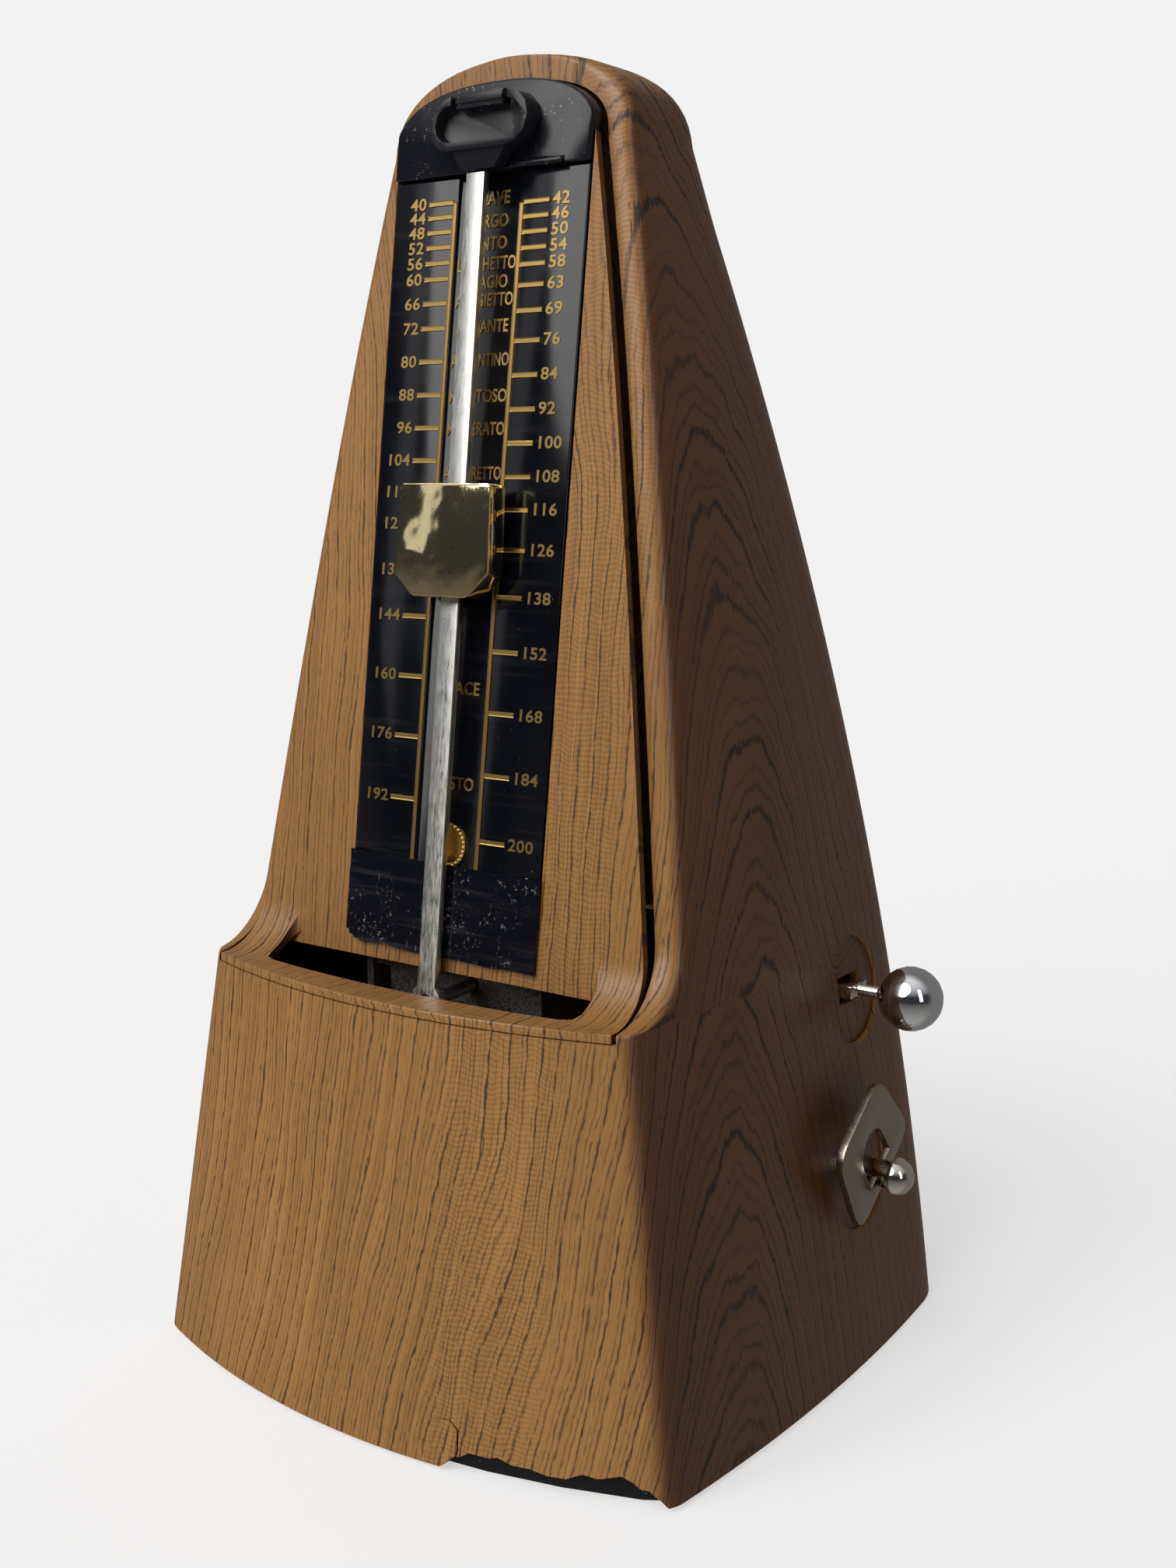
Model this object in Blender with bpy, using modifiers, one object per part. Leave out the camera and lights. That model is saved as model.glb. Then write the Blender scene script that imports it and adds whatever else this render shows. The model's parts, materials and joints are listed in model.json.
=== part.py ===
"""Mechanical pyramid metronome with a bell, as separate pieces. Metres, +Z up, the front faces -Y.

The origin is the centre of the footprint on the standing plane. The winding key and the bell knob are on +X.
Run it with blender --background --python part.py, or from Blender's text editor.
"""

import math

import bmesh
import bpy
from mathutils import Matrix, Vector

# ---- Case: sizes at three heights (foot, ledge, shoulder), with a smooth curve through them
FOOT_Z = 0.0006
LEDGE_Z = 0.0737
SHOULDER_Z = 0.2120
DOME_RISE = 0.0146
APEX_Z = SHOULDER_Z + DOME_RISE
HALF_WIDTH_FRONT = (0.0560, 0.0451, 0.0245)
HALF_WIDTH_MIDDLE = (0.0600, 0.0503, 0.0253)
HALF_WIDTH_REAR = (0.0575, 0.0485, 0.0250)
CORNER_Y_FRONT = (-0.0478, -0.0425, -0.0325)
CORNER_Y_REAR = (0.0500, 0.0440, 0.0120)
BOW_FRONT = (0.0113, 0.0078, 0.0040)
BOW_REAR = (0.0085, 0.0070, 0.0015)
WALL = 0.0025
CORNER_RADIUS_FRONT = 0.0035
CORNER_RADIUS_REAR = 0.0100
RIM_Y_AT_GROUND = -0.04115
RIM_SLOPE = 0.1367
RIM_WIDTH = 0.0042
ARCH_POWER = 2.4
ARCH_REAR_ROUND = 0.0045
CHIP_FROM_X = 0.0190
CHIP_HEIGHT = 0.0040

# ---- Fits
GAP = 0.0003
BORE_CLEARANCE = 0.0003

# ---- Front panel, scale and trim, as heights and distances in front of the rim plane
PANEL_PROUD = 0.00275
PANEL_THICKNESS = 0.0033
SHELF_THICKNESS = 0.0020
SHELF_SPARE = 0.0010
SLOT_HALF_LENGTH = 0.0338
SLOT_FRONT_MARGIN = 0.0066
SLOT_BOW = 0.0024
PLATE_HALF_WIDTH = 0.0202
PLATE_PROUD = 0.0031
PLATE_THICKNESS = 0.0020
PLATE_BOTTOM_Z = LEDGE_Z + 0.0113
BEZEL_BOTTOM_Z = SHOULDER_Z - 0.0045
EAR_BOTTOM_Z = SHOULDER_Z + 0.0030
BEZEL_PROUD = 0.0038
BEZEL_THICKNESS = 0.0035
STOP_BAR_FROM_X = 0.0048
STOP_BAR_TO_X = 0.0155
STOP_BAR_HEIGHT = 0.0011
STOP_BAR_PROUD = 0.0009
CHANNEL_HALF_WIDTH = 0.0064
CHANNEL_DEPTH = 0.0006
TAPE_HALF_WIDTH = 0.0207
TAPE_BOTTOM_Z = LEDGE_Z + 0.0037
TAPE_TOP_Z = PLATE_BOTTOM_Z + 0.0088
TAPE_THICKNESS = 0.0002
NOSE_HALF_LENGTH = 0.0102
NOSE_HALF_HEIGHT = 0.0044
NOSE_Z = SHOULDER_Z + 0.0032
NOSE_WALL = 0.0013
NOSE_PROUD = 0.0076
TONGUE_HALF_WIDTH = 0.0048
TONGUE_THICKNESS = 0.0021
TONGUE_NOTCH = 0.0010
TONGUE_ROOT = 0.0010
CATCH_BLOCK_TOP_HALF = 0.0058
CATCH_BLOCK_BOTTOM_HALF = 0.0035
CATCH_BLOCK_BOTTOM_Z = BEZEL_BOTTOM_Z + 0.0001

# ---- Pendulum. The weight's place follows from the beat: (pi * bpm / 60)^2 * (B + x^2) = g * (A - x)
PIVOT_Z = 0.0700
ROD_Y_AT_PIVOT = -0.0366
ROD_SLOPE = 0.1264
ROD_WIDTH = 0.0037
ROD_THICKNESS = 0.0013
ROD_TIP_Z = BEZEL_BOTTOM_Z - 0.0006
BALANCE_LENGTH_A = 0.1472
BALANCE_AREA_B = 0.009566
GRAVITY = 9.81
SWING_CORRECTION = 0.9704
RESTING_BEAT = 110
STAFF_RADIUS = 0.0012
STAFF_REAR_Y = 0.0110
BOB_DROP = 0.0340
BOB_RADIUS = 0.0140
BOB_LENGTH = 0.0120
WEIGHT_HALF_TOP = 0.0094
WEIGHT_HALF_WIDE = 0.0100
WEIGHT_HALF_BOTTOM = 0.0058
WEIGHT_HEIGHT = 0.0188
WEIGHT_CHAMFER_HEIGHT = 0.0039
WEIGHT_FRONT = 0.0037
WEIGHT_REAR = 0.00065

# ---- Winding and bell controls on the +X side
WINDING_Y = 0.0160
WINDING_Z = 0.0352
SHAFT_RADIUS = 0.0026
SHAFT_HOLE_RADIUS = 0.0036
SHAFT_END_RADIUS = 0.00345
SHAFT_REACH_X = 0.0662
KEY_X = 0.0598
KEY_THICKNESS = 0.0013
KEY_LIMB = 0.0032
KEY_HALF_NEAR = 0.0118
KEY_HALF_FAR = 0.0092
KEY_REACH = 0.0165
KEY_CORNER = 0.0042
KEY_HOLE_RADIUS = 0.0043
KEY_TURN = math.radians(127)
KEY_RECESS_RADIUS = 0.0110
SELECTOR_Y = 0.0213
SELECTOR_Z = 0.0665
SELECTOR_BAR = (0.0060, 0.0024)
SELECTOR_SLOT = (0.0080, 0.0050)
SELECTOR_RECESS_RADIUS = 0.0098
RECESS_DEPTH = 0.0011
KNOB_X = 0.0624
KNOB_RADIUS = 0.00575
KNOB_NECK_RADIUS = 0.0020

# ---- Base: the tray's underside is the standing plane, and the pads sit flush in it
TRAY_FLOOR = 0.0026
TRAY_LIP_TOP_Z = 0.0090
TRAY_WALL = 0.0018
FOOT_RADIUS = 0.0060
FOOT_HEIGHT = 0.0012
FOOT_X = 0.0350
FOOT_Y = 0.0320
SCREW_X = 0.0460
SCREW_Y = 0.0360
SCREW_RADIUS = 0.0015
SCREW_HEAD_RADIUS = 0.0030
SCREW_HEAD_HEIGHT = 0.0015
SCREW_LENGTH = 0.0120
BOSS_RADIUS = 0.0034
BOSS_TOP_Z = 0.0260

# ---- Movement
PLATE_LEFT_X = -0.0240
PLATE_RIGHT_X = 0.0140
FRAME_PLATE = 0.0015
FRAME_FRONT_Y = -0.0250
FRAME_REAR_Y = 0.0350
FRAME_TOP_Z = 0.0780
FRAME_FLANGE = 0.0080
PILLAR_RADIUS = 0.0020
PILLAR_PLACES = ((-0.021, 0.014), (0.031, 0.014), (0.031, 0.072), (-0.021, 0.048))
BRIDGE_HALF_HEIGHT = 0.0060
FRONT_BRIDGE_Y = -0.0245
REAR_BRIDGE_Y = 0.0080
WHEEL_THICKNESS = 0.0013
GREAT_TEETH = 48
GREAT_MODULE = 0.00075
CENTRE_TEETH = 48
CENTRE_MODULE = 0.00070
PINION_TEETH = 10
GREAT_WHEEL_X = -0.0140
CENTRE_WHEEL_X = -0.0200
PINION_THICKNESS = 0.0030
ARBOR_RADIUS = 0.0012
CROWN_RADIUS = 0.0120
CROWN_TEETH = 15
CROWN_X = -0.0090
CROWN_DEPTH = 0.0058
CROWN_TOOTH_DEPTH = 0.0022
CROWN_WALL = 0.0010
CROWN_Y = -0.0076
BARREL_RADIUS = 0.0152
BARREL_LENGTH = 0.0180
BARREL_WALL = 0.0010
SPRING_TURNS = 7
SPRING_STRIP = 0.0004
RATCHET_RADIUS = 0.0062
RATCHET_TEETH = 16
CLICK_PIVOT = (0.0275, 0.0405)
CLICK_PIN_RADIUS = 0.0012
CAM_RADIUS = 0.0050
CAM_COUNT = 4
BELL_X = 0.0350
BELL_Y = -0.0130
BELL_RADIUS = 0.0140
BELL_HEIGHT = 0.0090
BELL_WALL = 0.0010
BELL_RIM_Z = 0.0240
BELL_POST_RADIUS = 0.0020
HAMMER_PIVOT = (-0.0080, 0.0480)
HAMMER_X = 0.0300
HAMMER_HEAD = (-0.0200, 0.0385)
HAMMER_HEAD_RADIUS = 0.0022

PIVOT = Vector((0, ROD_Y_AT_PIVOT, PIVOT_Z))
ROD_UP = Vector((0, ROD_SLOPE, 1)).normalized()
ROD_TILT = Matrix.Rotation(-math.atan(ROD_SLOPE), 4, "X")
ALONG_X = Matrix.Rotation(math.radians(90), 4, "Y")
ALONG_Y = Matrix.Rotation(math.radians(-90), 4, "X")
OUTLINE_TO_XZ = Matrix.Rotation(math.radians(90), 4, "X")
OUTLINE_TO_YZ = Matrix(((0, 0, 1, 0), (1, 0, 0, 0), (0, 1, 0, 0), (0, 0, 0, 1)))


# ---- Scene, materials and small helpers

def fresh_collections():
    """Remove what the scene holds and return the collections for the pieces and for the cutters."""
    for old in list(bpy.data.objects):
        bpy.data.objects.remove(old)
    pieces = bpy.data.collections.new("metronome")
    cutters = bpy.data.collections.new("cutters")
    bpy.context.scene.collection.children.link(pieces)
    bpy.context.scene.collection.children.link(cutters)
    cutters.hide_render = True
    return pieces, cutters


PIECES, CUTTERS = fresh_collections()


def finish(name, colour, roughness, metallic=0.0):
    """A Principled material in linear colour."""
    made = bpy.data.materials.new(name)
    made.use_nodes = True
    shader = made.node_tree.nodes["Principled BSDF"]
    shader.inputs["Base Color"].default_value = (*colour, 1.0)
    shader.inputs["Roughness"].default_value = roughness
    shader.inputs["Metallic"].default_value = metallic
    return made


FINISHES = {
    "case": ((0.16, 0.075, 0.03), 0.45, 0.0),
    "black": ((0.012, 0.013, 0.02), 0.35, 0.0),
    "tape": ((0.008, 0.008, 0.014), 0.25, 0.0),
    "rubber": ((0.02, 0.02, 0.02), 0.8, 0.0),
    "steel": ((0.55, 0.55, 0.54), 0.35, 1.0),
    "nickel": ((0.66, 0.62, 0.55), 0.18, 1.0),
    "chrome": ((0.8, 0.8, 0.82), 0.06, 1.0),
    "gold": ((0.80, 0.68, 0.42), 0.12, 1.0),
    "brass": ((0.78, 0.57, 0.2), 0.3, 1.0),
    "iron": ((0.2, 0.2, 0.21), 0.6, 1.0),
}


def place(mesh, name, look, matrix=None):
    """Put a mesh in the scene as the piece called name."""
    made = bpy.data.objects.new(name, mesh)
    PIECES.objects.link(made)
    colour, roughness, metallic = FINISHES[look]
    mesh.materials.clear()
    mesh.materials.append(finish(name, colour, roughness, metallic))
    if matrix is not None:
        made.matrix_world = matrix
    return made


def place_cutter(mesh, name, matrix=None):
    made = bpy.data.objects.new(name, mesh)
    CUTTERS.objects.link(made)
    made.hide_render = True
    made.display_type = "WIRE"
    if matrix is not None:
        made.matrix_world = matrix
    return made


def combine(piece, other, operation):
    """Cut, join or intersect a piece with another mesh object."""
    step = piece.modifiers.new(other.name, "BOOLEAN")
    step.operation = operation
    step.object = other
    step.solver = "EXACT"


def bm_mesh(bm, name, smooth_angle=math.radians(32)):
    bmesh.ops.recalc_face_normals(bm, faces=bm.faces)
    mesh = bpy.data.meshes.new(name)
    bm.to_mesh(mesh)
    bm.free()
    mesh.shade_smooth()
    mesh.set_sharp_from_angle(angle=smooth_angle)
    return mesh


def cylinder_mesh(name, radius, length, sides=24, end_radius=None):
    """A cylinder or cone along Z, centred on the origin."""
    bm = bmesh.new()
    bmesh.ops.create_cone(bm, cap_ends=True, segments=sides, radius1=radius,
                          radius2=radius if end_radius is None else end_radius, depth=length)
    return bm_mesh(bm, name)


def box_mesh(name, low, high):
    bm = bmesh.new()
    bmesh.ops.create_cube(bm, size=1.0)
    centre = (Vector(low) + Vector(high)) / 2
    size = Vector(high) - Vector(low)
    bmesh.ops.scale(bm, vec=size, verts=bm.verts)
    bmesh.ops.translate(bm, vec=centre, verts=bm.verts)
    return bm_mesh(bm, name)


def outline_mesh(name, outlines, thickness):
    """A flat outline, with any inner outlines as holes, thickened about its own plane."""
    curve = bpy.data.curves.new(name, "CURVE")
    curve.dimensions = "2D"
    curve.fill_mode = "BOTH"
    curve.extrude = thickness / 2
    for outline in outlines:
        spline = curve.splines.new("POLY")
        spline.points.add(len(outline) - 1)
        for point, (u, v) in zip(spline.points, outline):
            point.co = (u, v, 0, 1)
        spline.use_cyclic_u = True
    holder = bpy.data.objects.new(name, curve)
    bpy.context.scene.collection.objects.link(holder)
    graph = bpy.context.evaluated_depsgraph_get()
    mesh = bpy.data.meshes.new_from_object(holder.evaluated_get(graph))
    bpy.data.objects.remove(holder)
    bm = bmesh.new()
    bm.from_mesh(mesh)
    bmesh.ops.remove_doubles(bm, verts=bm.verts, dist=1e-6)
    return bm_mesh(bm, name)


def turned(name, look, profile, steps=24, matrix=None):
    """A turned piece: the profile runs (radius, height) from top to bottom and is spun about Z."""
    mesh = bpy.data.meshes.new(name)
    points = [(radius, 0, height) for radius, height in profile]
    mesh.from_pydata(points, [(i, i + 1) for i in range(len(points) - 1)], [])
    made = place(mesh, name, look, matrix)
    screw = made.modifiers.new("turn", "SCREW")
    screw.axis = "Z"
    screw.steps = steps
    screw.render_steps = steps
    screw.use_merge_vertices = True
    screw.merge_threshold = 1e-5
    screw.use_smooth_shade = True
    return made


def circle(radius, sides=24, centre=(0, 0)):
    return [(centre[0] + radius * math.cos(2 * math.pi * i / sides),
             centre[1] + radius * math.sin(2 * math.pi * i / sides)) for i in range(sides)]


def rounded(corners, radius, steps=3):
    """A polygon with each corner replaced by a smooth turn of about the given radius."""
    points = []
    count = len(corners)
    for i, here in enumerate(corners):
        here = Vector(here)
        back = (Vector(corners[i - 1]) - here).normalized() * radius
        on = (Vector(corners[(i + 1) % count]) - here).normalized() * radius
        for k in range(steps + 1):
            t = k / steps
            spot = here + back * (1 - t) ** 2 + on * t ** 2
            points.append((spot.x, spot.y))
    return points


def along_x(name, look, radius, x_low, x_high, y, z, sides=20):
    """A plain round arbor or pin that runs along X."""
    matrix = Matrix.Translation(((x_low + x_high) / 2, y, z)) @ ALONG_X
    return place(cylinder_mesh(name, radius, x_high - x_low, sides), name, look, matrix)


def hole_along_x(name, radius, x, y, z, length=0.02, sides=24):
    matrix = Matrix.Translation((x, y, z)) @ ALONG_X
    return place_cutter(cylinder_mesh(name, radius, length, sides), name, matrix)


# ---- The case's shape

def at_height(values, z):
    """The curve through a size's values at the foot, the ledge and the shoulder."""
    low, mid, high = 0.0, LEDGE_Z, SHOULDER_Z
    return (values[0] * (z - mid) * (z - high) / ((low - mid) * (low - high))
            + values[1] * (z - low) * (z - high) / ((mid - low) * (mid - high))
            + values[2] * (z - low) * (z - mid) / ((high - low) * (high - mid)))


def rim_y(z):
    return RIM_Y_AT_GROUND + RIM_SLOPE * z


def side_x(y, z):
    """Half the case's width at a depth and a height: the sides bow outwards a little."""
    front, rear = at_height(CORNER_Y_FRONT, z), at_height(CORNER_Y_REAR, z)
    half_front, half_rear = at_height(HALF_WIDTH_FRONT, z), at_height(HALF_WIDTH_REAR, z)
    bow = at_height(HALF_WIDTH_MIDDLE, z) - (half_front + half_rear) / 2
    t = (y - front) / (rear - front)
    return half_front + (half_rear - half_front) * t + bow * 4 * t * (1 - t)


def arch(turn, half_width, height):
    """A point of the domed top's outline, turn running from 0 at the shoulder to 90 degrees at the apex."""
    power = 2 / ARCH_POWER
    return half_width * math.cos(turn) ** power, height * math.sin(turn) ** power


def case_ring(z, inset=0.0, front_y=None, front_bow=0.0, width_share=1.0, rear_pull=0.0):
    """One closed plan section, front middle first and going towards +X, as (x, y, z) points."""
    corner_y = (at_height(CORNER_Y_FRONT, z) if front_y is None else front_y) + inset
    bow = at_height(BOW_FRONT, z) if front_y is None else front_bow
    rear_y = at_height(CORNER_Y_REAR, z) - inset - rear_pull
    rear_bow = at_height(BOW_REAR, z)

    def side(y):
        return (side_x(y, z) - inset) * width_share

    half_front, half_rear = side(corner_y), side(rear_y)
    radius_front = min(CORNER_RADIUS_FRONT, half_front / 2)
    radius_rear = min(CORNER_RADIUS_REAR, half_rear / 2, (rear_y - corner_y) / 3)

    def front(x):
        return corner_y - bow * (1 - (x / half_front) ** 2)

    def rear(x):
        return rear_y + rear_bow * (1 - (x / half_rear) ** 2)

    def turn_corner(start, corner, end, steps=3):
        return [tuple((1 - t) ** 2 * a + 2 * t * (1 - t) * b + t * t * c
                      for a, b, c in zip(start, corner, end))
                for t in [k / steps for k in range(steps + 1)]]

    right = [(x, front(x)) for x in [(half_front - radius_front) * i / 4 for i in range(4)]]
    right += turn_corner((half_front - radius_front, front(half_front - radius_front)),
                         (half_front, corner_y), (side(corner_y + radius_front), corner_y + radius_front))
    low, high = corner_y + radius_front, rear_y - radius_rear
    right += [(side(y), y) for y in [low + (high - low) * i / 4 for i in range(1, 4)]]
    right += turn_corner((side(high), high), (half_rear, rear_y),
                         (half_rear - radius_rear, rear(half_rear - radius_rear)))
    right += [(x, rear(x)) for x in [(half_rear - radius_rear) * i / 3 for i in (2, 1, 0)]]
    left = [(-x, y) for x, y in reversed(right[1:-1])]
    return [(x, y, z) for x, y in right + left]


def case_solid(name, inset, low_z):
    """The case's full form, inset all round, from low_z to the domed top."""
    rings = [case_ring(low_z + (LEDGE_Z - low_z) * i / 3, inset) for i in range(4)]
    ledge_front = at_height(CORNER_Y_FRONT, LEDGE_Z)
    depth = rim_y(LEDGE_Z) - ledge_front
    for turn in [math.radians(a) for a in (18, 36, 54, 72, 90)]:
        z = LEDGE_Z + depth * (1 - math.cos(turn)) + inset * 0.5
        share = 1 - math.sin(turn)
        rings.append(case_ring(z, inset, rim_y(z) - depth * share, BOW_FRONT[1] * share))
    start = rings[-1][0][2]
    rings += [case_ring(z, inset, rim_y(z)) for z in
              [start + (SHOULDER_Z - start) * i / 3 for i in (1, 2, 3)]]
    for turn in [math.radians(a) for a in (12, 24, 36, 48, 59, 69, 78, 85)]:
        share, rise = arch(turn, 1.0, APEX_Z - inset - SHOULDER_Z)
        z = SHOULDER_Z + rise
        level = at_height(HALF_WIDTH_MIDDLE, SHOULDER_Z) / at_height(HALF_WIDTH_MIDDLE, z)
        rings.append(case_ring(z, inset, rim_y(z), 0.0, share * level,
                               ARCH_REAR_ROUND * math.sin(turn) ** 4))
    return loft(name, rings)


def loft(name, rings):
    """A closed body through rings of equal point counts, with flat ends."""
    bm = bmesh.new()
    made = [[bm.verts.new(point) for point in ring] for ring in rings]
    count = len(made[0])
    for lower, upper in zip(made, made[1:]):
        for i in range(count):
            j = (i + 1) % count
            bm.faces.new((lower[i], lower[j], upper[j], upper[i]))
    bm.faces.new(list(reversed(made[0])))
    bm.faces.new(made[-1])
    return bm_mesh(bm, name)


def window_outline(inset, low_z=LEDGE_Z):
    """The front opening seen from the front: straight sides inside the rim, and the arch above."""
    edge = RIM_WIDTH + inset
    heights = [low_z + (SHOULDER_Z - low_z) * i / 4 for i in range(4)]
    right = [(side_x(rim_y(z), z) - edge, z) for z in heights]
    half = side_x(rim_y(SHOULDER_Z), SHOULDER_Z) - edge
    for turn in [math.radians(a) for a in range(0, 91, 10)]:
        x, rise = arch(turn, half, APEX_Z - edge - SHOULDER_Z)
        right.append((max(x, 0.0), SHOULDER_Z + rise))
    return right + [(-x, z) for x, z in reversed(right[:-1])]


def front_prism(name, outline, y_low, y_high):
    """An outline in X and Z, run along Y."""
    mesh = outline_mesh(name, [outline], y_high - y_low)
    return mesh, Matrix.Translation((0, (y_low + y_high) / 2, 0)) @ OUTLINE_TO_XZ


def wall_normal_at(y, z):
    """The turn that points Z out of the +X wall at a place on it."""
    lean = (side_x(y, z + 0.005) - side_x(y, z - 0.005)) / 0.01
    return Vector((1, 0, -lean)).to_track_quat("Z", "Y").to_matrix().to_4x4()


# ---- Case shell

def case_shell():
    shell = place(case_solid("case_shell", 0.0, FOOT_Z), "case_shell", "case")
    combine(shell, place_cutter(case_solid("case_hollow", WALL, FOOT_Z - 0.01), "case_hollow"), "DIFFERENCE")
    # The wall stops below the panel's shelf, which comes forward over it to the front face.
    outline = window_outline(0.0, LEDGE_Z - SHELF_THICKNESS - GAP)
    mesh, matrix = front_prism("case_window", outline, -0.09, -0.003)
    combine(shell, place_cutter(mesh, "case_window", matrix), "DIFFERENCE")
    for name, y, z, radius in (("key_recess", WINDING_Y, WINDING_Z, KEY_RECESS_RADIUS),
                               ("selector_recess", SELECTOR_Y, SELECTOR_Z, SELECTOR_RECESS_RADIUS)):
        reach = 0.010
        place_at = Matrix.Translation((side_x(y, z), y, z)) @ wall_normal_at(y, z)
        place_at = place_at @ Matrix.Translation((0, 0, reach / 2 - RECESS_DEPTH))
        combine(shell, place_cutter(cylinder_mesh(name, radius, reach, 32), name, place_at), "DIFFERENCE")
    combine(shell, hole_along_x("shaft_hole", SHAFT_HOLE_RADIUS, side_x(WINDING_Y, WINDING_Z),
                                WINDING_Y, WINDING_Z), "DIFFERENCE")
    slot_x = side_x(SELECTOR_Y, SELECTOR_Z)
    wide, tall = SELECTOR_SLOT
    combine(shell, place_cutter(box_mesh("selector_slot",
                                         (slot_x - 0.01, SELECTOR_Y - wide / 2, SELECTOR_Z - tall / 2),
                                         (slot_x + 0.01, SELECTOR_Y + wide / 2, SELECTOR_Z + tall / 2)),
                                "selector_slot"), "DIFFERENCE")
    high = CHIP_HEIGHT
    ragged = [(-0.003, -0.4), (0, 0.1), (0.003, 0.62), (0.008, 0.85), (0.015, 0.8), (0.021, 0.68),
              (0.026, 0.9), (0.0295, 1.15), (0.0325, 0.75), (0.0355, 0.3), (0.0375, -0.4)]
    outline = [(CHIP_FROM_X + x, FOOT_Z + high * share) for x, share in ragged]
    mesh, matrix = front_prism("edge_chip", outline, -0.07, -0.035)
    combine(shell, place_cutter(mesh, "edge_chip", matrix), "DIFFERENCE")
    return shell


def screw_places():
    return [(x, y) for x in (-SCREW_X, SCREW_X) for y in (-SCREW_Y, SCREW_Y)]


def shell_bosses(shell):
    """Posts inside the shell that take the base screws, each on a web that runs into the side wall."""
    bottom = TRAY_LIP_TOP_Z + GAP
    for i, (x, y) in enumerate(screw_places(), 1):
        side = math.copysign(1, x)
        post = cylinder_mesh(f"boss_{i}", BOSS_RADIUS, BOSS_TOP_Z - bottom, 16)
        centre = Matrix.Translation((x, y, (BOSS_TOP_Z + bottom) / 2))
        combine(shell, place_cutter(post, f"boss_{i}", centre), "UNION")
        edges = sorted((x + side * BOSS_RADIUS / 2, side * (side_x(y, BOSS_TOP_Z) - WALL / 2)))
        web = box_mesh(f"boss_web_{i}", (edges[0], y - 0.001, bottom + 0.001),
                       (edges[1], y + 0.001, BOSS_TOP_Z - 0.001))
        combine(shell, place_cutter(web, f"boss_web_{i}"), "UNION")
        hole = cylinder_mesh(f"boss_hole_{i}", SCREW_RADIUS + BORE_CLEARANCE, SCREW_LENGTH, 12)
        centre = Matrix.Translation((x, y, bottom + SCREW_LENGTH / 2 - 0.003))
        combine(shell, place_cutter(hole, f"boss_hole_{i}", centre), "DIFFERENCE")


# ---- Front panel, scale plate and trim

def panel_profile():
    """The panel and shelf from the side, as (y, z): front face, fillet, shelf, and back."""
    front_at = RIM_Y_AT_GROUND - PANEL_PROUD
    shelf_front = at_height(CORNER_Y_FRONT, LEDGE_Z) - at_height(BOW_FRONT, LEDGE_Z) - SHELF_SPARE
    depth = front_at + RIM_SLOPE * LEDGE_Z - at_height(CORNER_Y_FRONT, LEDGE_Z)
    top = EAR_BOTTOM_Z - GAP
    profile = [(front_at + RIM_SLOPE * top, top)]
    for turn in [math.radians(a) for a in (90, 72, 54, 36, 18, 0)]:
        z = LEDGE_Z + depth * (1 - math.cos(turn))
        profile.append((front_at + RIM_SLOPE * z - depth * (1 - math.sin(turn)), z))
    profile.append((shelf_front, LEDGE_Z))
    profile.append((shelf_front, LEDGE_Z - SHELF_THICKNESS))
    back_at = front_at + PANEL_THICKNESS
    profile.append((back_at + RIM_SLOPE * LEDGE_Z, LEDGE_Z - SHELF_THICKNESS))
    profile.append((back_at + RIM_SLOPE * top, top))
    return profile


def bowed_plan(half, front_middle, bow, rear, steps=8):
    """A plan outline with a straight rear and a front that bows towards -Y."""
    front = []
    for i in range(steps + 1):
        x = -half + 2 * half * i / steps
        front.append((x, front_middle + bow * (x / half) ** 2))
    return front + [(half, rear), (-half, rear)]


def front_panel():
    profile = panel_profile()
    mesh = outline_mesh("front_panel", [profile], 0.1)
    panel = place(mesh, "front_panel", "case", OUTLINE_TO_YZ)
    mesh, matrix = front_prism("panel_bounds", [(x, z - (0.02 if z < LEDGE_Z + 0.001 else 0))
                                                for x, z in window_outline(GAP)], -0.09, 0.01)
    combine(panel, place_cutter(mesh, "panel_bounds", matrix), "INTERSECT")
    # The shelf's front edge is trimmed flush with the case's front face.
    levels = (LEDGE_Z - 0.02, LEDGE_Z, (LEDGE_Z + SHOULDER_Z) / 2, SHOULDER_Z + 0.01)
    bounds = loft("shelf_bounds", [case_ring(z) for z in levels])
    combine(panel, place_cutter(bounds, "shelf_bounds"), "INTERSECT")
    rear = RIM_Y_AT_GROUND - PANEL_PROUD + RIM_SLOPE * LEDGE_Z
    slot_front = at_height(CORNER_Y_FRONT, LEDGE_Z) - at_height(BOW_FRONT, LEDGE_Z) + SLOT_FRONT_MARGIN
    plan = bowed_plan(SLOT_HALF_LENGTH, slot_front, SLOT_BOW, rear)
    mesh = outline_mesh("pendulum_slot", [plan], 0.05)
    for vertex in mesh.vertices:
        if vertex.co.y > rear - 0.0001:
            vertex.co.y = rear - 0.00005 + RIM_SLOPE * vertex.co.z
    combine(panel, place_cutter(mesh, "pendulum_slot", Matrix.Translation((0, 0, LEDGE_Z))), "DIFFERENCE")
    bay = box_mesh("plate_bay", (-PLATE_HALF_WIDTH - GAP, -0.09, PLATE_BOTTOM_Z - GAP),
                   (PLATE_HALF_WIDTH + GAP, 0.02, APEX_Z + 0.02))
    combine(panel, place_cutter(bay, "plate_bay"), "DIFFERENCE")
    return panel


def on_rim(outline, proud, thickness, name):
    """A flat piece parallel to the rim plane, its front standing proud of it; outline is in X and Z."""
    mesh = outline_mesh(name, [outline], thickness)
    stretch = 1 / math.cos(math.atan(RIM_SLOPE))
    for vertex in mesh.vertices:
        x, z, out = vertex.co
        # The outline's height is the true height, so the piece is sheared, not turned.
        vertex.co = (x, rim_y(z) - proud + (thickness / 2 - out) * stretch, z)
    bm = bmesh.new()
    bm.from_mesh(mesh)
    return bm_mesh(bm, name)


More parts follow.
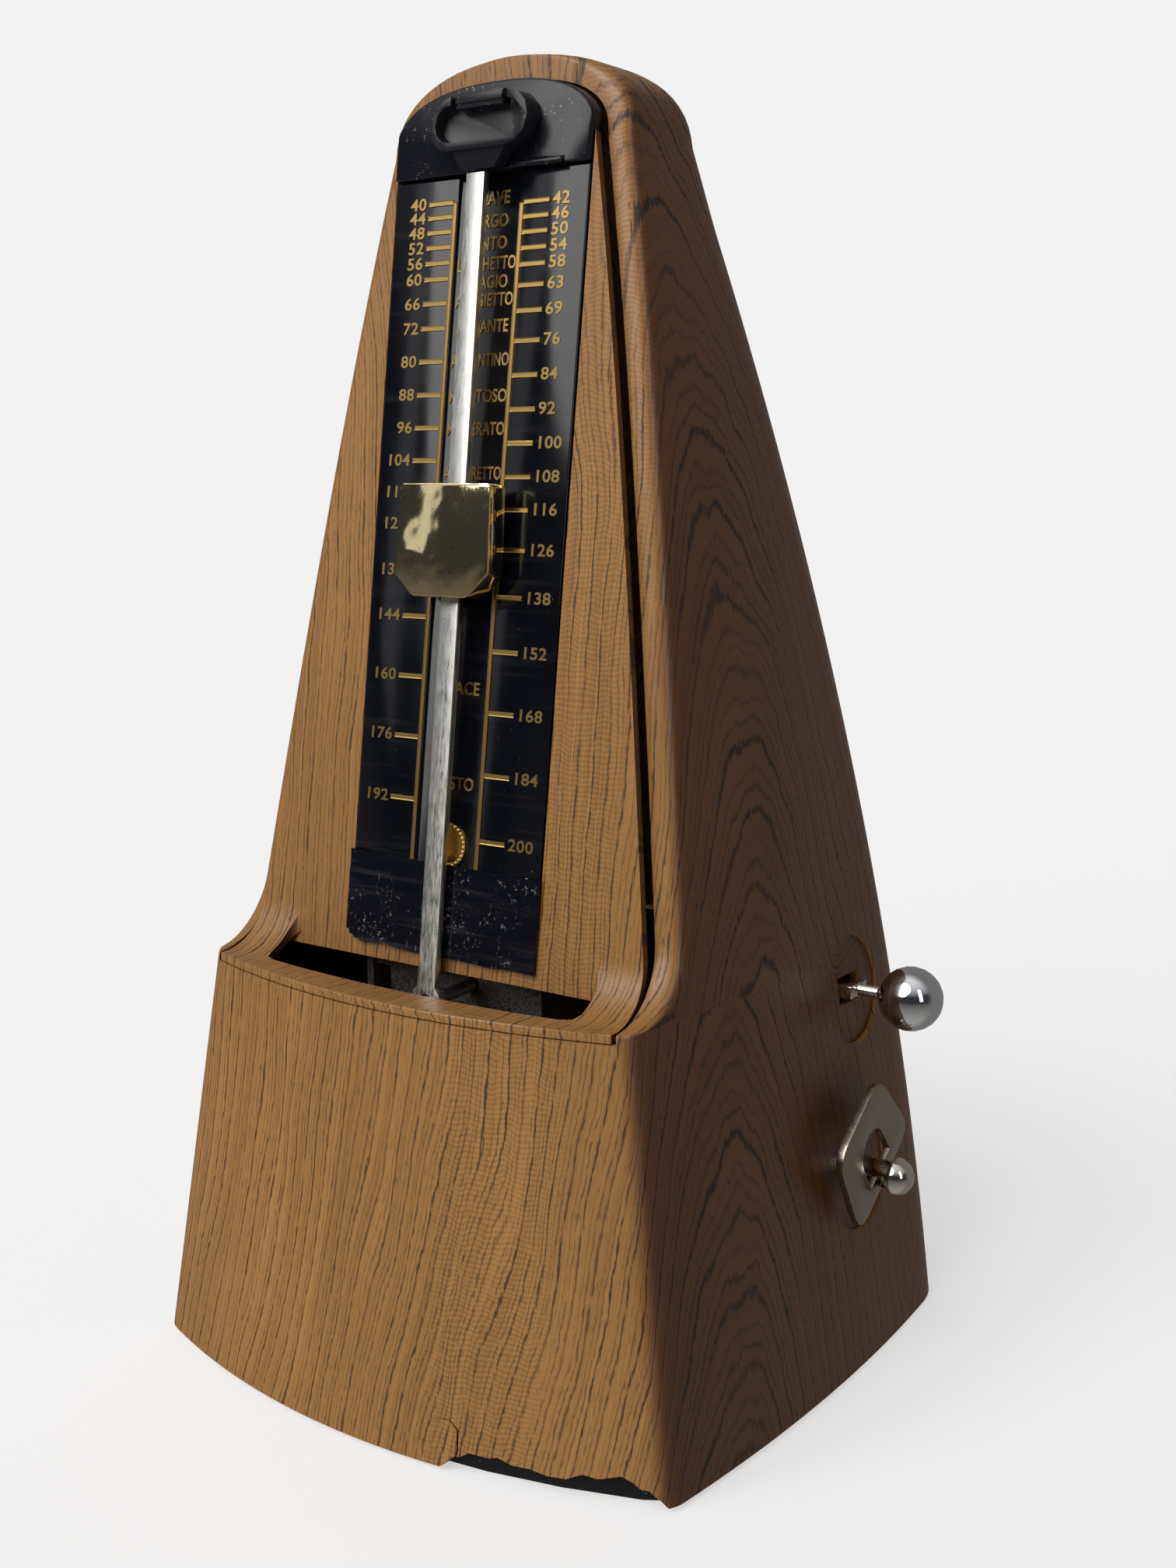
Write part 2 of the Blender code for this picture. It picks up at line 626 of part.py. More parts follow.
def scale_plate():
    outline = [(-PLATE_HALF_WIDTH, PLATE_BOTTOM_Z), (PLATE_HALF_WIDTH, PLATE_BOTTOM_Z),
               (PLATE_HALF_WIDTH, BEZEL_BOTTOM_Z - GAP), (-PLATE_HALF_WIDTH, BEZEL_BOTTOM_Z - GAP)]
    plate = place(on_rim(outline, PLATE_PROUD, PLATE_THICKNESS, "scale_plate"), "scale_plate", "black")
    top, bottom = BEZEL_BOTTOM_Z + 0.01, PLATE_BOTTOM_Z + 0.004
    channel = [(-CHANNEL_HALF_WIDTH, bottom), (CHANNEL_HALF_WIDTH, bottom),
               (CHANNEL_HALF_WIDTH, top), (-CHANNEL_HALF_WIDTH, top)]
    cut = on_rim(channel, PLATE_PROUD - CHANNEL_DEPTH + 0.005, 0.005, "scale_channel")
    combine(plate, place_cutter(cut, "scale_channel"), "DIFFERENCE")
    return plate


def top_bezel():
    edge = RIM_WIDTH + GAP
    half = side_x(rim_y(SHOULDER_Z), SHOULDER_Z) - edge
    right = [(PLATE_HALF_WIDTH, BEZEL_BOTTOM_Z), (PLATE_HALF_WIDTH, EAR_BOTTOM_Z)]
    for turn in [math.radians(a) for a in range(10, 91, 8)]:
        x, rise = arch(turn, half, APEX_Z - edge - SHOULDER_Z)
        if SHOULDER_Z + rise > EAR_BOTTOM_Z:
            right.append((max(x, 0.0), SHOULDER_Z + rise))
    outline = right + [(-x, z) for x, z in reversed(right[:-1])]
    bezel = place(on_rim(outline, BEZEL_PROUD, BEZEL_THICKNESS, "top_bezel"), "top_bezel", "black")
    stop = [(STOP_BAR_FROM_X, BEZEL_BOTTOM_Z), (STOP_BAR_TO_X, BEZEL_BOTTOM_Z),
            (STOP_BAR_TO_X, BEZEL_BOTTOM_Z + STOP_BAR_HEIGHT),
            (STOP_BAR_FROM_X, BEZEL_BOTTOM_Z + STOP_BAR_HEIGHT)]
    bar = on_rim(stop, BEZEL_PROUD + STOP_BAR_PROUD, STOP_BAR_PROUD + BEZEL_THICKNESS / 2, "stop_bar")
    combine(bezel, place_cutter(bar, "stop_bar"), "UNION")
    return bezel


def stadium(half_length, half_height, centre_z, steps=6):
    points = []
    for side in (1, -1):
        for k in range(steps + 1):
            angle = math.radians(-90 + 180 * k / steps)
            points.append((side * (half_length - half_height + half_height * math.cos(angle)),
                           centre_z + side * half_height * math.sin(angle)))
    return points


def pendulum_catch():
    """The lid's latch and the rod's parking hook: a hollow nose, its tongue and the stepped block."""
    length = NOSE_PROUD - BEZEL_PROUD - GAP
    outer = on_rim(stadium(NOSE_HALF_LENGTH, NOSE_HALF_HEIGHT, NOSE_Z), NOSE_PROUD, length, "pendulum_catch")
    catch = place(outer, "pendulum_catch", "black")
    inner = on_rim(stadium(NOSE_HALF_LENGTH - NOSE_WALL, NOSE_HALF_HEIGHT - NOSE_WALL, NOSE_Z),
                   NOSE_PROUD + 0.001, length - 0.0002, "nose_hollow")
    combine(catch, place_cutter(inner, "nose_hollow"), "DIFFERENCE")
    top = NOSE_Z + NOSE_HALF_HEIGHT
    tongue = [(-TONGUE_HALF_WIDTH, top - TONGUE_THICKNESS), (TONGUE_HALF_WIDTH, top - TONGUE_THICKNESS),
              (TONGUE_HALF_WIDTH, top + GAP), (-TONGUE_HALF_WIDTH, top + GAP)]
    combine(catch, place_cutter(on_rim(tongue, NOSE_PROUD - GAP, length - 2 * GAP, "tongue"), "tongue"), "UNION")
    for side in (-1, 1):
        near, far = sorted((side * TONGUE_HALF_WIDTH, side * (TONGUE_HALF_WIDTH + TONGUE_NOTCH)))
        notch = [(near, top - TONGUE_THICKNESS), (far, top - TONGUE_THICKNESS), (far, top + 0.001),
                 (near, top + 0.001)]
        cut = on_rim(notch, NOSE_PROUD + 0.001, length + 0.001 - TONGUE_ROOT, f"tongue_notch_{side}")
        combine(catch, place_cutter(cut, f"tongue_notch_{side}"), "DIFFERENCE")
    block = [(-CATCH_BLOCK_BOTTOM_HALF, CATCH_BLOCK_BOTTOM_Z), (CATCH_BLOCK_BOTTOM_HALF, CATCH_BLOCK_BOTTOM_Z),
             (CATCH_BLOCK_TOP_HALF, NOSE_Z - NOSE_HALF_HEIGHT + 0.0004),
             (-CATCH_BLOCK_TOP_HALF, NOSE_Z - NOSE_HALF_HEIGHT + 0.0004)]
    combine(catch, place_cutter(on_rim(block, NOSE_PROUD - 0.0008, length - 0.0008, "catch_block"),
                                "catch_block"), "UNION")
    return catch


def cover_tape():
    outline = [(-TAPE_HALF_WIDTH, TAPE_BOTTOM_Z), (TAPE_HALF_WIDTH, TAPE_BOTTOM_Z),
               (TAPE_HALF_WIDTH, TAPE_TOP_Z), (-TAPE_HALF_WIDTH, TAPE_TOP_Z)]
    proud = PLATE_PROUD + GAP + TAPE_THICKNESS
    return place(on_rim(outline, proud, TAPE_THICKNESS, "cover_tape"), "cover_tape", "tape")


# ---- Base tray, feet and screws

def foot_places():
    names = ("front_left", "rear_left", "front_right", "rear_right")
    return list(zip(names, [(x, y) for x in (-FOOT_X, FOOT_X) for y in (-FOOT_Y, FOOT_Y)]))


def base_tray():
    inset = WALL + GAP
    middle = TRAY_LIP_TOP_Z / 2
    mesh = loft("base_tray", [case_ring(z, inset) for z in (0.0, middle, TRAY_LIP_TOP_Z)])
    tray = place(mesh, "base_tray", "black")
    inner = loft("tray_hollow", [case_ring(z, inset + TRAY_WALL) for z in
                                 (TRAY_FLOOR, middle, TRAY_LIP_TOP_Z + 0.002)])
    combine(tray, place_cutter(inner, "tray_hollow"), "DIFFERENCE")
    for i, (x, y) in enumerate(screw_places(), 1):
        spot = Matrix.Translation((x, y, 0))
        hole = cylinder_mesh(f"tray_hole_{i}", SCREW_RADIUS + BORE_CLEARANCE, 0.02, 12)
        combine(tray, place_cutter(hole, f"tray_hole_{i}", spot), "DIFFERENCE")
        seat = cylinder_mesh(f"tray_seat_{i}", SCREW_HEAD_RADIUS + BORE_CLEARANCE, 2 * SCREW_HEAD_HEIGHT, 16)
        combine(tray, place_cutter(seat, f"tray_seat_{i}", spot), "DIFFERENCE")
    for name, (x, y) in foot_places():
        pocket = cylinder_mesh(f"pocket_{name}", FOOT_RADIUS + GAP, 2 * (FOOT_HEIGHT + GAP), 24)
        spot = Matrix.Translation((x, y, 0))
        combine(tray, place_cutter(pocket, f"pocket_{name}", spot), "DIFFERENCE")
    return tray


def base_screws():
    for i, (x, y) in enumerate(screw_places(), 1):
        head_z = SCREW_HEAD_HEIGHT - GAP
        profile = [(0, head_z + SCREW_LENGTH), (SCREW_RADIUS, head_z + SCREW_LENGTH), (SCREW_RADIUS, head_z),
                   (SCREW_HEAD_RADIUS, head_z), (SCREW_HEAD_RADIUS, head_z - 0.0009), (0, head_z - 0.0009)]
        turned(f"base_screw_{i}", "steel", profile, 12, Matrix.Translation((x, y, 0)))


def feet():
    for name, (x, y) in foot_places():
        profile = [(0, FOOT_HEIGHT), (FOOT_RADIUS, FOOT_HEIGHT), (FOOT_RADIUS - 0.0003, 0), (0, 0)]
        turned(f"foot_{name}", "rubber", profile, 24, Matrix.Translation((x, y, 0)))


# ---- Pendulum

def rod_point(z):
    """The middle of the rod at a height."""
    return Vector((0, ROD_Y_AT_PIVOT + ROD_SLOPE * (z - PIVOT_Z), z))


def beat_height(bpm):
    """The height at which the weight's top edge stands on the scale for a beat."""
    speed = math.pi * bpm / 60
    k = SWING_CORRECTION * GRAVITY / speed ** 2
    along = -k / 2 + math.sqrt(k * k / 4 + k * BALANCE_LENGTH_A - BALANCE_AREA_B)
    return PIVOT_Z + along / math.sqrt(1 + RIM_SLOPE ** 2)


def pendulum():
    hub_length = 0.004
    bottom = PIVOT_Z - BOB_DROP + BOB_RADIUS * 0.2
    low, high = (bottom - PIVOT_Z) / ROD_UP.z, (ROD_TIP_Z - PIVOT_Z) / ROD_UP.z
    at_pivot = Matrix.Translation(PIVOT) @ ROD_TILT
    rod = place(box_mesh("pendulum_rod", (-ROD_WIDTH / 2, -ROD_THICKNESS / 2, low),
                         (ROD_WIDTH / 2, ROD_THICKNESS / 2, high)), "pendulum_rod", "steel", at_pivot)
    boss = place_cutter(cylinder_mesh("rod_boss", 0.0032, ROD_THICKNESS, 20), "rod_boss", at_pivot @ ALONG_Y)
    combine(rod, boss, "UNION")
    bore = cylinder_mesh("rod_bore", STAFF_RADIUS + BORE_CLEARANCE, 0.02, 20)
    combine(rod, place_cutter(bore, "rod_bore", Matrix.Translation(PIVOT) @ ALONG_Y), "DIFFERENCE")
    # The staff carries a collar in front and behind the rod, and the two pallets over the crown wheel.
    start, end = ROD_Y_AT_PIVOT - hub_length / 2, STAFF_REAR_Y
    middle = Matrix.Translation((0, (start + end) / 2, PIVOT_Z)) @ ALONG_Y
    staff = place(cylinder_mesh("pendulum_staff", STAFF_RADIUS, end - start, 16), "pendulum_staff", "steel",
                  middle)
    collar = cylinder_mesh("staff_collar", 0.0026, 0.0009, 16)
    collar_y = ROD_Y_AT_PIVOT + ROD_THICKNESS / 2 + 2 * GAP + 0.0004
    combine(staff, place_cutter(collar, "staff_collar", Matrix.Translation((0, collar_y, PIVOT_Z)) @ ALONG_Y),
            "UNION")
    reach = abs(CROWN_X + CROWN_DEPTH) - GAP
    for i, side in enumerate((-1, 1), 1):
        vane = box_mesh(f"pallet_{i}", (-reach, -0.0012, -0.0003), (0, 0.0012, 0.0003))
        turn = Matrix.Rotation(math.radians(side * 40), 4, "Y")
        spot = Matrix.Translation((0, CROWN_Y + side * (CROWN_RADIUS - 0.0005), PIVOT_Z))
        combine(staff, place_cutter(vane, f"pallet_{i}", spot @ turn), "UNION")
    spot = Matrix.Translation(PIVOT) @ ROD_TILT @ Matrix.Translation((0, 0, -BOB_DROP)) @ ALONG_Y
    bob = place(cylinder_mesh("lower_bob", BOB_RADIUS, BOB_LENGTH, 32), "lower_bob", "iron", spot)
    groove = box_mesh("bob_groove", (-ROD_WIDTH / 2 - GAP, -ROD_THICKNESS / 2 - GAP, -BOB_RADIUS * 0.8 - GAP),
                      (ROD_WIDTH / 2 + GAP, ROD_THICKNESS / 2 + GAP, BOB_RADIUS * 2))
    spot = Matrix.Translation(PIVOT) @ ROD_TILT @ Matrix.Translation((0, 0, -BOB_DROP + BOB_RADIUS))
    combine(bob, place_cutter(groove, "bob_groove", spot), "DIFFERENCE")
    return rod


def sliding_weight():
    """A trapezoid block that grips the rod in a channel open at its back. Its top edge marks the beat."""
    top = rod_point(beat_height(RESTING_BEAT))
    wide = -WEIGHT_HEIGHT + WEIGHT_CHAMFER_HEIGHT
    outline = [(-WEIGHT_HALF_BOTTOM, -WEIGHT_HEIGHT), (WEIGHT_HALF_BOTTOM, -WEIGHT_HEIGHT),
               (WEIGHT_HALF_WIDE, wide), (WEIGHT_HALF_TOP, 0), (-WEIGHT_HALF_TOP, 0), (-WEIGHT_HALF_WIDE, wide)]
    thickness = WEIGHT_FRONT + WEIGHT_REAR
    mesh = outline_mesh("sliding_weight", [rounded(outline, 0.0006, 2)], thickness)
    tilt = Matrix.Translation(top) @ ROD_TILT
    centre = tilt @ Matrix.Translation((0, (WEIGHT_REAR - WEIGHT_FRONT) / 2, 0)) @ OUTLINE_TO_XZ
    weight = place(mesh, "sliding_weight", "gold", centre)
    channel = box_mesh("weight_channel", (-ROD_WIDTH / 2 - GAP, -ROD_THICKNESS / 2 - GAP, -WEIGHT_HEIGHT * 2),
                       (ROD_WIDTH / 2 + GAP, 0.01, WEIGHT_HEIGHT))
    combine(weight, place_cutter(channel, "weight_channel", tilt), "DIFFERENCE")
    return weight


# ---- Winding key, shaft and click

KEY_PLACE = (Matrix.Translation((KEY_X, WINDING_Y, WINDING_Z))
             @ Matrix.Rotation(KEY_TURN - math.pi / 2, 4, "X") @ OUTLINE_TO_YZ)


def winding_key():
    """A ring plate whose limb runs through the shaft's cross hole, so that it folds flat or stands out."""
    near = -KEY_LIMB / 2
    outer = rounded([(-KEY_HALF_NEAR, near), (KEY_HALF_NEAR, near),
                     (KEY_HALF_FAR, KEY_REACH), (-KEY_HALF_FAR, KEY_REACH)], KEY_CORNER, 4)
    low, radius = KEY_LIMB / 2, KEY_HOLE_RADIUS
    centre = low + radius + 0.0006
    hole = [(-radius, low), (radius, low)]
    hole += [(radius * math.cos(math.radians(a)), centre + radius * math.sin(math.radians(a)))
             for a in range(0, 181, 20)]
    return place(outline_mesh("winding_key", [outer, hole], KEY_THICKNESS), "winding_key", "nickel", KEY_PLACE)


def winding_arbor():
    left = PLATE_LEFT_X - 0.003
    end = SHAFT_REACH_X
    ball = SHAFT_END_RADIUS
    profile = [(0, end)]
    profile += [(ball * math.sin(math.radians(a)), end - ball + ball * math.cos(math.radians(a)))
                for a in (25, 50, 75, 90)]
    neck = KEY_X + 0.0034
    profile += [(ball, neck), (SHAFT_RADIUS + 0.0003, neck - 0.0006), (SHAFT_RADIUS, neck - 0.0009),
                (SHAFT_RADIUS, left), (0, left)]
    matrix = Matrix.Translation((0, WINDING_Y, WINDING_Z)) @ ALONG_X
    arbor = turned("winding_arbor", "nickel", profile, 24, matrix)
    size = 0.0038 / 2
    slot = box_mesh("key_slot", (-0.01, -size, -size), (0.01, size, size))
    combine(arbor, place_cutter(slot, "key_slot", KEY_PLACE), "DIFFERENCE")
    return arbor


def saw_outline(teeth, radius, depth):
    points = []
    for i in range(teeth):
        for share, r in ((0.0, radius), (0.12, radius), (0.16, radius - depth)):
            angle = 2 * math.pi * (i + share) / teeth
            points.append((r * math.cos(angle), r * math.sin(angle)))
    return points


def ratchet_and_click():
    x = PLATE_RIGHT_X + FRAME_PLATE + 0.0020
    bore = circle(SHAFT_RADIUS + BORE_CLEARANCE, 20)
    mesh = outline_mesh("ratchet_wheel", [saw_outline(RATCHET_TEETH, RATCHET_RADIUS, 0.0011), bore], 0.0016)
    place(mesh, "ratchet_wheel", "steel", Matrix.Translation((x, WINDING_Y, WINDING_Z)) @ OUTLINE_TO_YZ)
    y, z = CLICK_PIVOT
    away = Vector((y - WINDING_Y, z - WINDING_Z))
    tip = away.normalized() * (RATCHET_RADIUS + GAP)
    tip = Vector((tip.x * 0.88 - tip.y * 0.55, tip.y * 0.88 + tip.x * 0.55)) - away
    side = Vector((-tip.y, tip.x)).normalized() * 0.0022
    outline = [tuple(tip), tuple(side), tuple(-away.normalized() * -0.0028), tuple(-side)]
    pin_hole = circle(CLICK_PIN_RADIUS + BORE_CLEARANCE, 12)
    mesh = outline_mesh("click", [rounded(outline, 0.0006, 2), pin_hole], 0.0014)
    place(mesh, "click", "steel", Matrix.Translation((x, y, z)) @ OUTLINE_TO_YZ)
    profile = [(0, 0.0032), (0.0019, 0.0032), (0.0019, 0.0022), (CLICK_PIN_RADIUS, 0.0022),
               (CLICK_PIN_RADIUS, -0.0031), (0, -0.0031)]
    matrix = Matrix.Translation((x - 0.0009, y, z)) @ ALONG_X
    turned("click_screw", "steel", profile, 16, matrix)


# ---- Movement frame

def train_places():
    """(y, z) of the great wheel's, the centre wheel's and the crown wheel's arbors."""
    great = Vector((WINDING_Y, WINDING_Z))
    crown = Vector((CROWN_Y, PIVOT_Z))
    first = GREAT_MODULE * (GREAT_TEETH + PINION_TEETH) / 2
    second = CENTRE_MODULE * (CENTRE_TEETH + PINION_TEETH) / 2
    apart = (crown - great).length
    along = (first ** 2 - second ** 2 + apart ** 2) / (2 * apart)
    off = math.sqrt(max(first ** 2 - along ** 2, 0.0))
    way = (crown - great) / apart
    centre = great + way * along + Vector((way.y, -way.x)) * off
    return great, centre, crown


def frame_plate(name, x, flange_side):
    """A plate across X, with a foot flange, and holes for the arbors and pillars."""
    foot = TRAY_FLOOR + GAP
    low = (x, FRAME_FRONT_Y, foot)
    high = (x + FRAME_PLATE, FRAME_REAR_Y, FRAME_TOP_Z)
    plate = place(box_mesh(name, low, high), name, "steel")
    edges = sorted((x + FRAME_PLATE / 2, x + FRAME_PLATE / 2 + flange_side * FRAME_FLANGE))
    flange = box_mesh(f"{name}_flange", (edges[0], FRAME_FRONT_Y, foot),
                      (edges[1], FRAME_REAR_Y, foot + FRAME_PLATE))
    combine(plate, place_cutter(flange, f"{name}_flange"), "UNION")
    great, centre, crown = train_places()
    holes = [("winding", great, SHAFT_RADIUS), ("centre", centre, ARBOR_RADIUS), ("crown", crown, ARBOR_RADIUS)]
    holes += [(f"pillar_{i}", Vector(spot), PILLAR_RADIUS * 0.6) for i, spot in enumerate(PILLAR_PLACES)]
    for label, spot, radius in holes:
        cut = hole_along_x(f"{name}_{label}", radius + BORE_CLEARANCE, x, spot.x, spot.y, 0.01, 16)
        combine(plate, cut, "DIFFERENCE")
    return plate


def movement_frame():
    frame_plate("left_frame_plate", PLATE_LEFT_X, -1)
    right = frame_plate("right_frame_plate", PLATE_RIGHT_X, 1)
    wide, tall = SELECTOR_BAR
    guide = box_mesh("selector_guide", (0, SELECTOR_Y - wide / 2 - GAP, SELECTOR_Z - tall / 2 - GAP),
                     (0.03, SELECTOR_Y + wide / 2 + GAP, SELECTOR_Z + tall / 2 + GAP))
    combine(right, place_cutter(guide, "selector_guide"), "DIFFERENCE")
    for label, (y, z), radius in (("click", CLICK_PIVOT, CLICK_PIN_RADIUS),
                                  ("hammer", HAMMER_PIVOT, ARBOR_RADIUS)):
        combine(right, hole_along_x(f"right_{label}_hole", radius + BORE_CLEARANCE, PLATE_RIGHT_X, y, z, 0.01, 16),
                "DIFFERENCE")
    inner_low, inner_high = PLATE_LEFT_X + FRAME_PLATE + GAP, PLATE_RIGHT_X - GAP
    for i, (y, z) in enumerate(PILLAR_PLACES, 1):
        stud = PILLAR_RADIUS * 0.6
        profile = [(0, inner_high + FRAME_PLATE + GAP), (stud, inner_high + FRAME_PLATE + GAP), (stud, inner_high),
                   (PILLAR_RADIUS, inner_high), (PILLAR_RADIUS, inner_low), (stud, inner_low),
                   (stud, inner_low - FRAME_PLATE - GAP), (0, inner_low - FRAME_PLATE - GAP)]
        turned(f"frame_pillar_{i}", "brass", profile, 16, Matrix.Translation((0, y, z)) @ ALONG_X)
    for name, y in (("front_bridge", FRONT_BRIDGE_Y), ("rear_bridge", REAR_BRIDGE_Y)):
        bridge = place(box_mesh(name, (inner_low, y, PIVOT_Z - BRIDGE_HALF_HEIGHT),
                                (inner_high, y + FRAME_PLATE, PIVOT_Z + BRIDGE_HALF_HEIGHT)), name, "steel")
        cut = cylinder_mesh(f"{name}_bore", STAFF_RADIUS + BORE_CLEARANCE, 0.01, 16)
        spot = Matrix.Translation((0, y, PIVOT_Z)) @ ALONG_Y
        combine(bridge, place_cutter(cut, f"{name}_bore", spot), "DIFFERENCE")
        # A notch lets the centre wheel's teeth pass.
        low = (inner_low - 0.001, y - 0.002, PIVOT_Z - 2 * BRIDGE_HALF_HEIGHT)
        high = (CENTRE_WHEEL_X + WHEEL_THICKNESS, y + 0.004, PIVOT_Z + 0.0005)
        combine(bridge, place_cutter(box_mesh(f"{name}_notch", low, high), f"{name}_notch"), "DIFFERENCE")


# ---- Going train

def gear_outline(teeth, module, phase=0.0):
    """A plain tapered-tooth gear with running backlash; phase is in teeth."""
    pitch = module * teeth / 2
    tip, root = pitch + 0.75 * module, pitch - 1.0 * module
    points = []
    for i in range(teeth):
        for share, radius in ((-0.29, root), (-0.10, tip), (0.10, tip), (0.29, root)):
            angle = 2 * math.pi * (i + share + phase) / teeth
            points.append((radius * math.cos(angle), radius * math.sin(angle)))
    return points


def mesh_phase(own_teeth, other_teeth, other_phase, way):
    """The phase that puts one of this gear's gaps where the other's tooth points, along way (an angle)."""
    other = (way / (2 * math.pi) * other_teeth - other_phase) % 1.0
    back = (way + math.pi) / (2 * math.pi) * own_teeth
    return back + 0.5 + other


def wheel(name, outline, thickness, x, spot, bore, look="brass"):
    mesh = outline_mesh(name, [outline, circle(bore, 16)], thickness)
    return place(mesh, name, look, Matrix.Translation((x, spot.x, spot.y)) @ OUTLINE_TO_YZ)


def going_train():
    great, centre, crown = train_places()
    wheel("great_wheel", gear_outline(GREAT_TEETH, GREAT_MODULE), WHEEL_THICKNESS, GREAT_WHEEL_X, great,
          SHAFT_RADIUS + BORE_CLEARANCE)
    way = math.atan2(centre.y - great.y, centre.x - great.x)
    phase = mesh_phase(PINION_TEETH, GREAT_TEETH, 0.0, way)
    wheel("centre_pinion", gear_outline(PINION_TEETH, GREAT_MODULE, phase), PINION_THICKNESS, GREAT_WHEEL_X,
          centre, ARBOR_RADIUS + GAP, "steel")
    wheel("centre_wheel", gear_outline(CENTRE_TEETH, CENTRE_MODULE), WHEEL_THICKNESS, CENTRE_WHEEL_X, centre,
          ARBOR_RADIUS + GAP)
    way = math.atan2(crown.y - centre.y, crown.x - centre.x)
    phase = mesh_phase(PINION_TEETH, CENTRE_TEETH, 0.0, way)
    wheel("crown_pinion", gear_outline(PINION_TEETH, CENTRE_MODULE, phase), PINION_THICKNESS, CENTRE_WHEEL_X,
          crown, ARBOR_RADIUS + GAP, "steel")
    along_x("centre_arbor", "steel", ARBOR_RADIUS, PLATE_LEFT_X - 0.002, 0.032, centre.x, centre.y)
    along_x("crown_arbor", "steel", ARBOR_RADIUS, PLATE_LEFT_X - 0.002, CROWN_X + 0.0020, crown.x, crown.y)


def crown_wheel():
    """The escape wheel: a cup whose rim has saw teeth that face the pendulum's staff."""
    radius, web, bore = CROWN_RADIUS, 0.0010, ARBOR_RADIUS + GAP
    profile = [(bore, web), (radius - CROWN_WALL, web), (radius - CROWN_WALL, CROWN_DEPTH),
               (radius, CROWN_DEPTH), (radius, 0), (bore, 0), (bore, web)]
    matrix = Matrix.Translation((CROWN_X, CROWN_Y, PIVOT_Z)) @ ALONG_X
    cup = turned("crown_wheel", "brass", profile, 4 * CROWN_TEETH, matrix)
    bm = bmesh.new()
    for i in range(CROWN_TEETH):
        turn = Matrix.Rotation(2 * math.pi * (i + 0.13) / CROWN_TEETH, 4, "Z")
        width = radius * math.pi / CROWN_TEETH * 0.78
        corners = [(-width, 0.001), (-width * 0.5, -CROWN_TOOTH_DEPTH), (width, 0.001)]
        rows = [[bm.verts.new(turn @ Vector((r, u, CROWN_DEPTH + v))) for u, v in corners]
                for r in (radius - 0.004, radius + 0.004)]
        bm.faces.new(rows[0])
        bm.faces.new(list(reversed(rows[1])))
        for a in range(3):
            b = (a + 1) % 3
            bm.faces.new((rows[0][b], rows[0][a], rows[1][a], rows[1][b]))
    notches = place_cutter(bm_mesh(bm, "crown_notches"), "crown_notches", matrix)
    combine(cup, notches, "DIFFERENCE")
    return cup


def spring_barrel():
    """The drum beside the great wheel, its cap, and the coiled mainspring inside."""
    start = GREAT_WHEEL_X + WHEEL_THICKNESS / 2 + GAP
    end = start + BARREL_LENGTH
    outer, inner, bore = BARREL_RADIUS, BARREL_RADIUS - BARREL_WALL, SHAFT_RADIUS + BORE_CLEARANCE
    profile = [(inner, end), (outer, end), (outer, start), (bore, start), (bore, start + BARREL_WALL),
               (inner, start + BARREL_WALL), (inner, end)]
    axis = Matrix.Translation((0, WINDING_Y, WINDING_Z)) @ ALONG_X
    turned("spring_barrel", "brass", profile, 32, axis)
    low = end + GAP
    profile = [(bore, low + BARREL_WALL), (outer, low + BARREL_WALL), (outer, low), (bore, low),
               (bore, low + BARREL_WALL)]
    turned("barrel_cap", "brass", profile, 32, axis)
    first, last = SHAFT_RADIUS + 0.0008, inner - 0.0006
    steps = SPRING_TURNS * 12
    spiral = []
    for i in range(steps + 1):
        radius = first + (last - first) * i / steps
        spiral.append((radius, 2 * math.pi * SPRING_TURNS * i / steps))
    outline = [(r * math.cos(a), r * math.sin(a)) for r, a in spiral]
    outline += [((r + SPRING_STRIP) * math.cos(a), (r + SPRING_STRIP) * math.sin(a)) for r, a in reversed(spiral)]
    width = BARREL_LENGTH - BARREL_WALL - 4 * GAP
    mesh = outline_mesh("mainspring", [outline], width)
    middle = Matrix.Translation((start + BARREL_WALL + 2 * GAP + width / 2, WINDING_Y, WINDING_Z))
    place(mesh, "mainspring", "steel", middle @ OUTLINE_TO_YZ)


# ---- Bell work

def beat_cams():
    """Discs on the centre arbor with one to four lobes, which lift the hammer's tail."""
    centre = train_places()[1]
    bore = circle(ARBOR_RADIUS + GAP, 16)
    drum = outline_mesh("beat_cams", [circle(0.0030, 16), bore], 0.0100)
    middle = PLATE_RIGHT_X + FRAME_PLATE + 0.0085
    cams = place(drum, "beat_cams", "brass", Matrix.Translation((middle, centre.x, centre.y)) @ OUTLINE_TO_YZ)
    for i in range(CAM_COUNT):
        lobes = i + 1
        outline = []
        for step in range(24):
            angle = 2 * math.pi * step / 24
            lift = 0.5 + 0.5 * math.cos(lobes * angle)
            radius = CAM_RADIUS - 0.0014 * (1 - lift ** 2)
            outline.append((radius * math.cos(angle), radius * math.sin(angle)))
        x = middle + (i - (CAM_COUNT - 1) / 2) * 0.0026
        disc = outline_mesh(f"cam_{lobes}", [outline, circle(ARBOR_RADIUS + 2 * GAP, 16)], 0.0012)
        spot = Matrix.Translation((x, centre.x, centre.y)) @ OUTLINE_TO_YZ
        combine(cams, place_cutter(disc, f"cam_{lobes}", spot), "UNION")
    return cams


